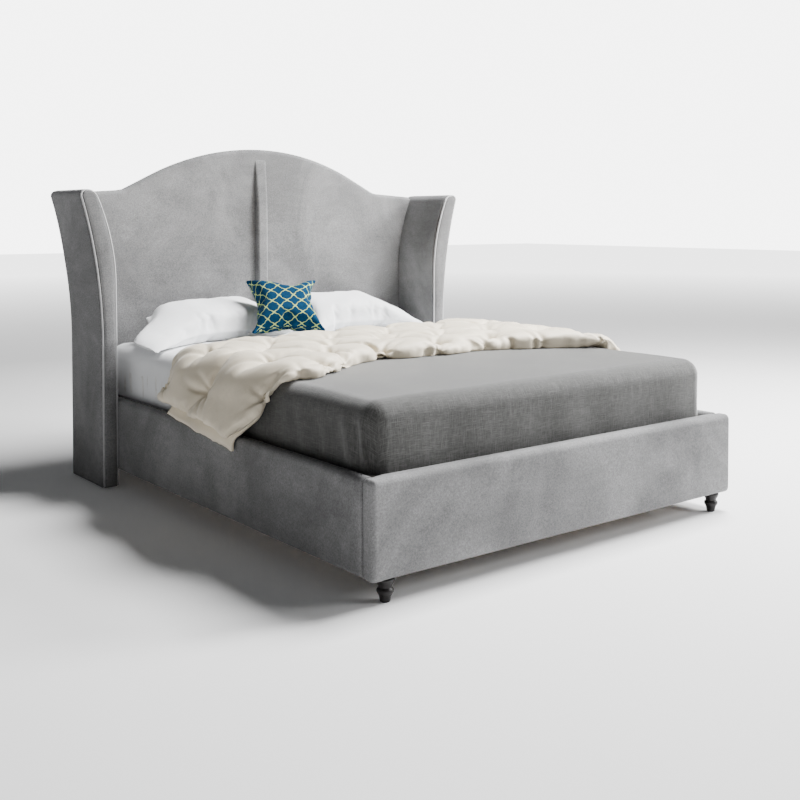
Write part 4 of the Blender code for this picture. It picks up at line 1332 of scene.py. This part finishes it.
def pucker(piece, uv, tufts, strength, reach):
    """Creases that run out from each tuft, sharp near it and fading into the puffs."""
    places = get_points(piece)
    normals = point_normals(piece)
    depth = np.zeros(len(places))
    chooser = np.random.default_rng(23)
    for tuft in tufts:
        offset = uv - tuft
        away = np.linalg.norm(offset, axis=1)
        near = away < reach * 2.2
        turn = np.arctan2(offset[near, 1], offset[near, 0])
        span = away[near]
        total = np.zeros(len(span))
        arms = chooser.integers(5, 8)
        for arm in range(arms):
            angle = math.tau * (arm + chooser.uniform(-0.3, 0.3)) / arms
            long = reach * chooser.uniform(0.6, 1.5)
            bend = chooser.uniform(-4.0, 4.0)
            off = np.abs((turn - angle - bend * span + math.pi) % math.tau - math.pi) * span
            wide = 0.006 + 0.07 * span
            crease = np.exp(-(off / wide) ** 2) * np.exp(-(span / long) ** 2)
            total += crease * chooser.uniform(0.6, 1.2)
        depth[near] += strength * np.clip(total, 0, 1.5) + 0.010 * np.exp(-(span / 0.020) ** 2)
    set_points(piece, places - normals * depth[:, None])


def frill_hem(piece, uv, path, width):
    """Small gathers along the hems."""
    length, _ = path_frame(path)
    front, rear = comforter_edges(np.interp(uv[:, 0], length, path[:, 0]))
    start = HEM_START + HEM_SLANT * (uv[:, 1] - front) / (rear - front)
    to_long_hems = np.minimum(uv[:, 1] - front, rear - uv[:, 1])
    to_ends = np.minimum(uv[:, 0] - start, width - uv[:, 0])
    edge = np.minimum(to_long_hems, to_ends)
    near = np.exp(-(np.maximum(edge, 0) / 0.020) ** 2)
    wave = ripple(uv, 0.040, 61, 7)
    end = 0.6 + 1.0 * smoothstep(0.25, 0.08, uv[:, 0])
    places = get_points(piece)
    set_points(piece, places + point_normals(piece) * (0.0018 * end * near * wave)[:, None])


def ruffle_under(under, uv):
    """Loose waves in the under layer and small gathers at its hem."""
    edge = np.exp(-(uv[:, 0] / 0.05) ** 2)
    loose = 0.0045 * ripple(uv, 0.12, 71, 5) * (0.3 + 0.7 * edge)
    gathers = 0.0022 * edge * ripple(uv, 0.035, 72, 6)
    wave = loose + gathers
    places = get_points(under)
    set_points(under, places + np.stack([-np.abs(wave) * 0.6, wave * 0.5, wave * 0.8], axis=1))


def press_on_bed(piece, path, floor_height):
    """Push whatever dips into the bed back out to its surface."""
    places = get_points(piece)
    flat = places[:, [0, 2]]
    coarse = path[::PATH_STEP]
    _, normals = path_frame(coarse)
    nearest = np.zeros(len(flat), dtype=int)
    best = np.full(len(flat), np.inf)
    for index, point in enumerate(coarse):
        away = (flat[:, 0] - point[0]) ** 2 + (flat[:, 1] - point[1]) ** 2
        closer = away < best
        best[closer] = away[closer]
        nearest[closer] = index
    offset = flat - coarse[nearest]
    height = np.einsum("ij,ij->i", offset, normals[nearest])
    push = np.maximum(floor_height - height, 0.0)
    places[:, 0] += normals[nearest][:, 0] * push
    places[:, 2] += normals[nearest][:, 1] * push
    set_points(piece, places)


# --- pillows and cushion -------------------------------------------------------------------------

CORNER_PULL = 0.02


def stuffed_form(name, size, cells):
    """A flat two-sided form in its own frame, ready to be puffed, with its UV map in metres."""
    piece = cell_block(name, cells)
    length, width, depth = size
    low = (-length / 2, -width / 2, -depth / 2)
    high = (length / 2, width / 2, depth / 2)
    places, _, _ = rounded(piece, low, high, (0.014, 0.014, depth * 0.49), cells, 2)
    reach_x = np.abs(places[:, 0]) / (length / 2)
    reach_y = np.abs(places[:, 1]) / (width / 2)
    places[:, 0] *= 1 - CORNER_PULL * (1 - reach_y ** 3)
    places[:, 1] *= 1 - CORNER_PULL * (1 - reach_x ** 3)
    set_points(piece, places)
    under = places[:, 2] < 0
    place_uv(piece, places[:, 0], np.where(under, places[:, 1] + 1.0, places[:, 1]))
    return piece


def lean_back(piece, node, tilt, turn, base_z, back_y=None):
    """Lean and turn a stuffed piece, put it at its node, and flatten it below and behind."""
    low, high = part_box(node)
    middle = np.array((low + high) / 2)
    x, y, z = get_points(piece).T
    cos_tilt, sin_tilt = math.cos(math.radians(tilt)), math.sin(math.radians(tilt))
    y, z = y * cos_tilt - z * sin_tilt, y * sin_tilt + z * cos_tilt
    cos_turn, sin_turn = math.cos(math.radians(turn)), math.sin(math.radians(turn))
    x, y = x * cos_turn - y * sin_turn, x * sin_turn + y * cos_turn
    places = np.stack([x, y, z], axis=1) + middle
    places[:, 2] = np.where(places[:, 2] < base_z, base_z + FABRIC_GAP, places[:, 2])
    if back_y is not None:
        places[:, 1] = np.minimum(places[:, 1], back_y)
    set_points(piece, places)


def case_end(piece, side, length, hem):
    """Flatten a pillowcase towards its open end and press its hem's stitching in."""
    flattening = 0.80
    stitch_width, stitch_depth = 0.006, 0.0022
    slack_rise = 0.0030
    places = get_points(piece)
    reach = side * places[:, 0] / (length / 2)
    places[:, 2] *= 1 - flattening * smoothstep(0.25, 1.05, reach)
    line = np.exp(-((length / 2 * reach - (length / 2 - hem)) / stitch_width) ** 2)
    upper = np.sign(places[:, 2])
    places[:, 2] -= upper * stitch_depth * line
    slack = slack_rise * smoothstep(0.55, 0.95, reach)
    places[:, 2] += upper * slack * ripple(places[:, :2] * np.array([0.5, 1.0]), 0.11, 77, 6)
    set_points(piece, places)


def skew_end(piece, side, length, width, inward):
    """Pull a pillow's upper outer corner inwards and let the middle of that end sag outwards."""
    places = get_points(piece)
    reach = smoothstep(0.35, 1.0, side * places[:, 0] / (length / 2))
    up = np.clip((places[:, 1] + width / 2) / width, 0, 1)
    sag = np.exp(-((up - 0.38) / 0.24) ** 2)
    places[:, 0] -= side * reach * inward * (0.9 * up ** 1.3 - 0.70 * (1 - up) - 1.0 * sag)
    places[:, 1] -= inward * reach * (0.6 * up + 0.45 * (1 - up))
    set_points(piece, places)


# Each pillow's side, turn in degrees, length, and how far its upper outer corner is pulled in.
PILLOWS = (
    ("left", -1, 13.0, 0.78, 0.15),
    ("right", 1, 0.0, 0.64, 0.05),
)


def build_pillows():
    """Two pillows in white cases, each flatter towards its outer end, where the case's hem is."""
    base = MATTRESS_HIGH.z + 0.009
    for side_name, side, turn, length, inward in PILLOWS:
        size = (length, 0.42, 0.016)
        piece = stuffed_form(f"pillow_case_{side_name}", size, (66, 38, 6))
        places = get_points(piece)
        places[:, 2] += 0.003 * ripple(places[:, :2], 0.16, 53 + side)
        set_points(piece, places)
        inflate(piece, pressure=7.0, frames=24, cap=0.082, growth=0.04, stiffness=9.0, bending=0.12)
        case_end(piece, side, length, hem=0.11)
        skew_end(piece, side, length, size[1], inward)
        smooth_up(piece)
        lean_back(piece, f"pillow_{side_name}", tilt=16.0, turn=turn, base_z=base,
                  back_y=PAD_LOW.y - 0.002)
        shade(piece)
        dress(piece, "white_cotton", "pillows", f"pillow_{side_name}")


def build_cushion():
    """The knife-edged throw cushion in its trellis print, with the dent of a hand in its top edge."""
    size = (0.365, 0.365, 0.012)
    dent_x, dent_width, dent_depth = 0.040, 0.060, 0.055
    piece = stuffed_form("cushion_cover", size, (56, 56, 6))
    inflate(piece, pressure=7.0, frames=24, cap=0.080, growth=0.02, stiffness=10.0, bending=0.15)
    places = get_points(piece)
    height = places[:, 1] / (size[1] / 2)
    dent = np.exp(-np.abs((places[:, 0] - dent_x) / dent_width) ** 1.6)
    chop = dent * smoothstep(0.15, 1.0, height)
    places[:, 1] -= dent_depth * chop
    places[:, 2] *= 1 - 0.25 * chop
    set_points(piece, places)
    smooth_up(piece)
    lean_back(piece, "throw_cushion", tilt=41.0, turn=-23.0, base_z=MATTRESS_HIGH.z + 0.010)
    shade(piece)
    dress(piece, "blue_trellis", "cushion", "throw_cushion")


# --- finishes on the frame's own pieces ----------------------------------------------------------

SLOT_FINISHES = {
    "plywood": "bare_plywood",
    "pine": "planed_pine",
    "dust_cloth": "black_dust_cloth",
    "zinc_steel": "zinc_plate",
    "grey_steel": "grey_powder_coat",
    "black_plastic": "moulded_plastic",
    "grey_velvet": "grey_velvet",
    "light_piping": "light_piping",
}


def finish_frame():
    """Give every carried-over CAD piece its detailed material."""
    slots = {part["node"]: part["material_slot"] for part in frame["record"]["subparts"]}
    for node, item in frame["nodes"].items():
        slot = slots.get(node)
        if slot not in SLOT_FINISHES:
            continue
        along_bed = slot == "pine" and not node.startswith(("slat_0", "slat_1"))
        coat(item, "long_pine" if along_bed else SLOT_FINISHES[slot])


# --- stage ---------------------------------------------------------------------------------------

CAMERA_PLACE = (-2.690, BOARD_LOW.y - 2.512, 1.143)
CAMERA_SHIFT = (-0.027, -0.2289)
WORLD_STRENGTH = 0.09
BACKDROP_STRENGTH = 6.0

# Each soft light's name, place, target, size and power.
SOFTBOXES = (
    ("key_light", (5.0, -2.0, 3.7), (0.1, -0.2, 0.5), 1.5, 660.0),
    ("top_light", (2.5, -0.4, 4.8), (0.0, 0.0, 0.4), 1.9, 860.0),
    ("front_light", (4.4, -5.2, 2.9), (0.0, 0.0, 0.8), 2.0, 220.0),
)


def build_stage():
    """Floor, soft studio light, background and camera."""
    settings = bpy.context.scene.stage
    deselect()
    bpy.ops.mesh.primitive_plane_add(size=60.0, location=(0.0, 0.0, -0.0005))
    floor = bpy.context.object
    floor.name = "studio_floor"
    coat(floor, "studio_floor")

    world = bpy.data.worlds.new("studio")
    bpy.context.scene.world = world
    world.use_nodes = True
    tree = world.node_tree
    lighting = tree.nodes["Background"]
    lighting.inputs["Color"].default_value = (0.95, 0.97, 1.0, 1.0)
    lighting.inputs["Strength"].default_value = WORLD_STRENGTH
    backdrop = tree.nodes.new("ShaderNodeBackground")
    backdrop.inputs["Color"].default_value = (1.0, 1.0, 1.0, 1.0)
    backdrop.inputs["Strength"].default_value = BACKDROP_STRENGTH
    sight = tree.nodes.new("ShaderNodeLightPath")
    either = tree.nodes.new("ShaderNodeMixShader")
    tree.links.new(sight.outputs["Is Camera Ray"], either.inputs["Fac"])
    tree.links.new(lighting.outputs["Background"], either.inputs[1])
    tree.links.new(backdrop.outputs["Background"], either.inputs[2])
    tree.links.new(either.outputs["Shader"], tree.nodes["World Output"].inputs["Surface"])

    for softbox in SOFTBOXES:
        add_softbox(*softbox)

    data = bpy.data.cameras.new("camera")
    data.sensor_width = 36.0
    data.lens = settings.lens
    data.clip_end = 200.0
    camera = bpy.data.objects.new("camera", data)
    bpy.context.scene.collection.objects.link(camera)
    camera.location = CAMERA_PLACE
    camera.rotation_euler = (math.pi / 2 - settings.camera_tilt, 0.0, settings.camera_turn)
    focal = settings.lens / data.sensor_width
    data.shift_x = CAMERA_SHIFT[0]
    data.shift_y = CAMERA_SHIFT[1] + focal * math.tan(settings.camera_tilt)
    bpy.context.scene.camera = camera


def add_softbox(name, place, target, size, power):
    """A square soft light that looks at a target."""
    data = bpy.data.lights.new(name, "AREA")
    data.shape = "SQUARE"
    data.size = size
    data.energy = power
    light = bpy.data.objects.new(name, data)
    bpy.context.scene.collection.objects.link(light)
    light.location = place
    light.rotation_euler = (Vector(target) - Vector(place)).to_track_quat("-Z", "Y").to_euler()


# --- operators and panel -------------------------------------------------------------------------

def done(*names):
    """An operator's result, or an error if one of its named pieces is missing or empty."""
    for name in names:
        piece = bpy.data.objects.get(name)
        if piece is None or not piece.data.polygons:
            raise RuntimeError(f"the piece {name} was not made")
    return {"FINISHED"}


class SLEIGHBED_OT_headboard(bpy.types.Operator):
    """Model the padded headboard and its rib"""

    bl_idname = "sleighbed.headboard"
    bl_label = "Headboard"
    bl_options = {"REGISTER", "UNDO"}

    def execute(self, context):
        build_headboard()
        return done("headboard_cover", "headboard_pleat")


class SLEIGHBED_OT_wings(bpy.types.Operator):
    """Model both wings with their facings and piping"""

    bl_idname = "sleighbed.wings"
    bl_label = "Wings"
    bl_options = {"REGISTER", "UNDO"}

    def execute(self, context):
        build_wing("left", -1)
        build_wing("right", 1)
        return done("wing_cover_left", "wing_face_left", "wing_cord_left",
                    "wing_cover_right", "wing_face_right", "wing_cord_right")


class SLEIGHBED_OT_rails(bpy.types.Operator):
    """Model the padded rails and footboard"""

    bl_idname = "sleighbed.rails"
    bl_label = "Rails and footboard"
    bl_options = {"REGISTER", "UNDO"}

    def execute(self, context):
        build_rails()
        return done("rail_cover_left", "rail_cover_right", "footboard_padding")


class SLEIGHBED_OT_feet(bpy.types.Operator):
    """Model the turned feet"""

    bl_idname = "sleighbed.feet"
    bl_label = "Turned feet"
    bl_options = {"REGISTER", "UNDO"}

    def execute(self, context):
        build_feet()
        return done("turned_foot_left", "turned_foot_right")


class SLEIGHBED_OT_frame_finishes(bpy.types.Operator):
    """Finish the frame's own wooden and metal pieces"""

    bl_idname = "sleighbed.frame_finishes"
    bl_label = "Frame finishes"
    bl_options = {"REGISTER", "UNDO"}

    def execute(self, context):
        finish_frame()
        return done("headboard_panel", "slat_01")


class SLEIGHBED_OT_mattress(bpy.types.Operator):
    """Model the mattress and its fitted sheet"""

    bl_idname = "sleighbed.mattress"
    bl_label = "Mattress and sheet"
    bl_options = {"REGISTER", "UNDO"}

    def execute(self, context):
        build_mattress()
        build_sheet()
        return done("mattress_body", "sheet_fitted")


class SLEIGHBED_OT_coverlet(bpy.types.Operator):
    """Lay the coverlet over the foot part"""

    bl_idname = "sleighbed.coverlet"
    bl_label = "Coverlet"
    bl_options = {"REGISTER", "UNDO"}

    def execute(self, context):
        build_coverlet()
        return done("coverlet_cloth")


class SLEIGHBED_OT_comforter(bpy.types.Operator):
    """Drape the tufted comforter across the bed"""

    bl_idname = "sleighbed.comforter"
    bl_label = "Comforter"
    bl_options = {"REGISTER", "UNDO"}

    def execute(self, context):
        build_comforter()
        return done("comforter_quilt")


class SLEIGHBED_OT_pillows(bpy.types.Operator):
    """Stuff the two pillows"""

    bl_idname = "sleighbed.pillows"
    bl_label = "Pillows"
    bl_options = {"REGISTER", "UNDO"}

    def execute(self, context):
        build_pillows()
        return done("pillow_case_left", "pillow_case_right")


class SLEIGHBED_OT_cushion(bpy.types.Operator):
    """Stuff the throw cushion"""

    bl_idname = "sleighbed.cushion"
    bl_label = "Throw cushion"
    bl_options = {"REGISTER", "UNDO"}

    def execute(self, context):
        build_cushion()
        return done("cushion_cover")


class SLEIGHBED_OT_stage(bpy.types.Operator):
    """Set up the floor, light and camera"""

    bl_idname = "sleighbed.stage"
    bl_label = "Stage"
    bl_options = {"REGISTER", "UNDO"}

    def execute(self, context):
        build_stage()
        return done("studio_floor")


OPERATORS = (
    SLEIGHBED_OT_stage,
    SLEIGHBED_OT_frame_finishes,
    SLEIGHBED_OT_headboard,
    SLEIGHBED_OT_wings,
    SLEIGHBED_OT_rails,
    SLEIGHBED_OT_feet,
    SLEIGHBED_OT_mattress,
    SLEIGHBED_OT_coverlet,
    SLEIGHBED_OT_comforter,
    SLEIGHBED_OT_pillows,
    SLEIGHBED_OT_cushion,
)
SETTINGS = {"upholstery": UpholsterySettings, "bedding": BeddingSettings, "stage": StageSettings}


class SLEIGHBED_PT_panel(bpy.types.Panel):
    """Lists the bed's settings and its operators"""

    bl_idname = "SLEIGHBED_PT_panel"
    bl_label = "Sleigh Bed"
    bl_space_type = "VIEW_3D"
    bl_region_type = "UI"
    bl_category = "Sleigh Bed"

    def draw(self, context):
        """Draw the settings and the operators."""
        layout = self.layout
        for name, group in SETTINGS.items():
            box = layout.box()
            box.label(text=name.title())
            for setting in group.__annotations__:
                box.prop(getattr(context.scene, name), setting)
        for operator in OPERATORS:
            layout.operator(operator.bl_idname)


def register():
    """Register the settings, the operators and the panel."""
    for name, group in SETTINGS.items():
        bpy.utils.register_class(group)
        setattr(bpy.types.Scene, name, bpy.props.PointerProperty(type=group))
    for operator in OPERATORS:
        bpy.utils.register_class(operator)
    bpy.utils.register_class(SLEIGHBED_PT_panel)


def unregister():
    """Remove what register added."""
    bpy.utils.unregister_class(SLEIGHBED_PT_panel)
    for operator in reversed(OPERATORS):
        bpy.utils.unregister_class(operator)
    for name, group in SETTINGS.items():
        delattr(bpy.types.Scene, name)
        bpy.utils.unregister_class(group)


def main():
    """Register the add-on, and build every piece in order."""
    register()
    for operator in OPERATORS:
        family, name = operator.bl_idname.split(".")
        getattr(getattr(bpy.ops, family), name)()


if __name__ == "__main__":
    main()
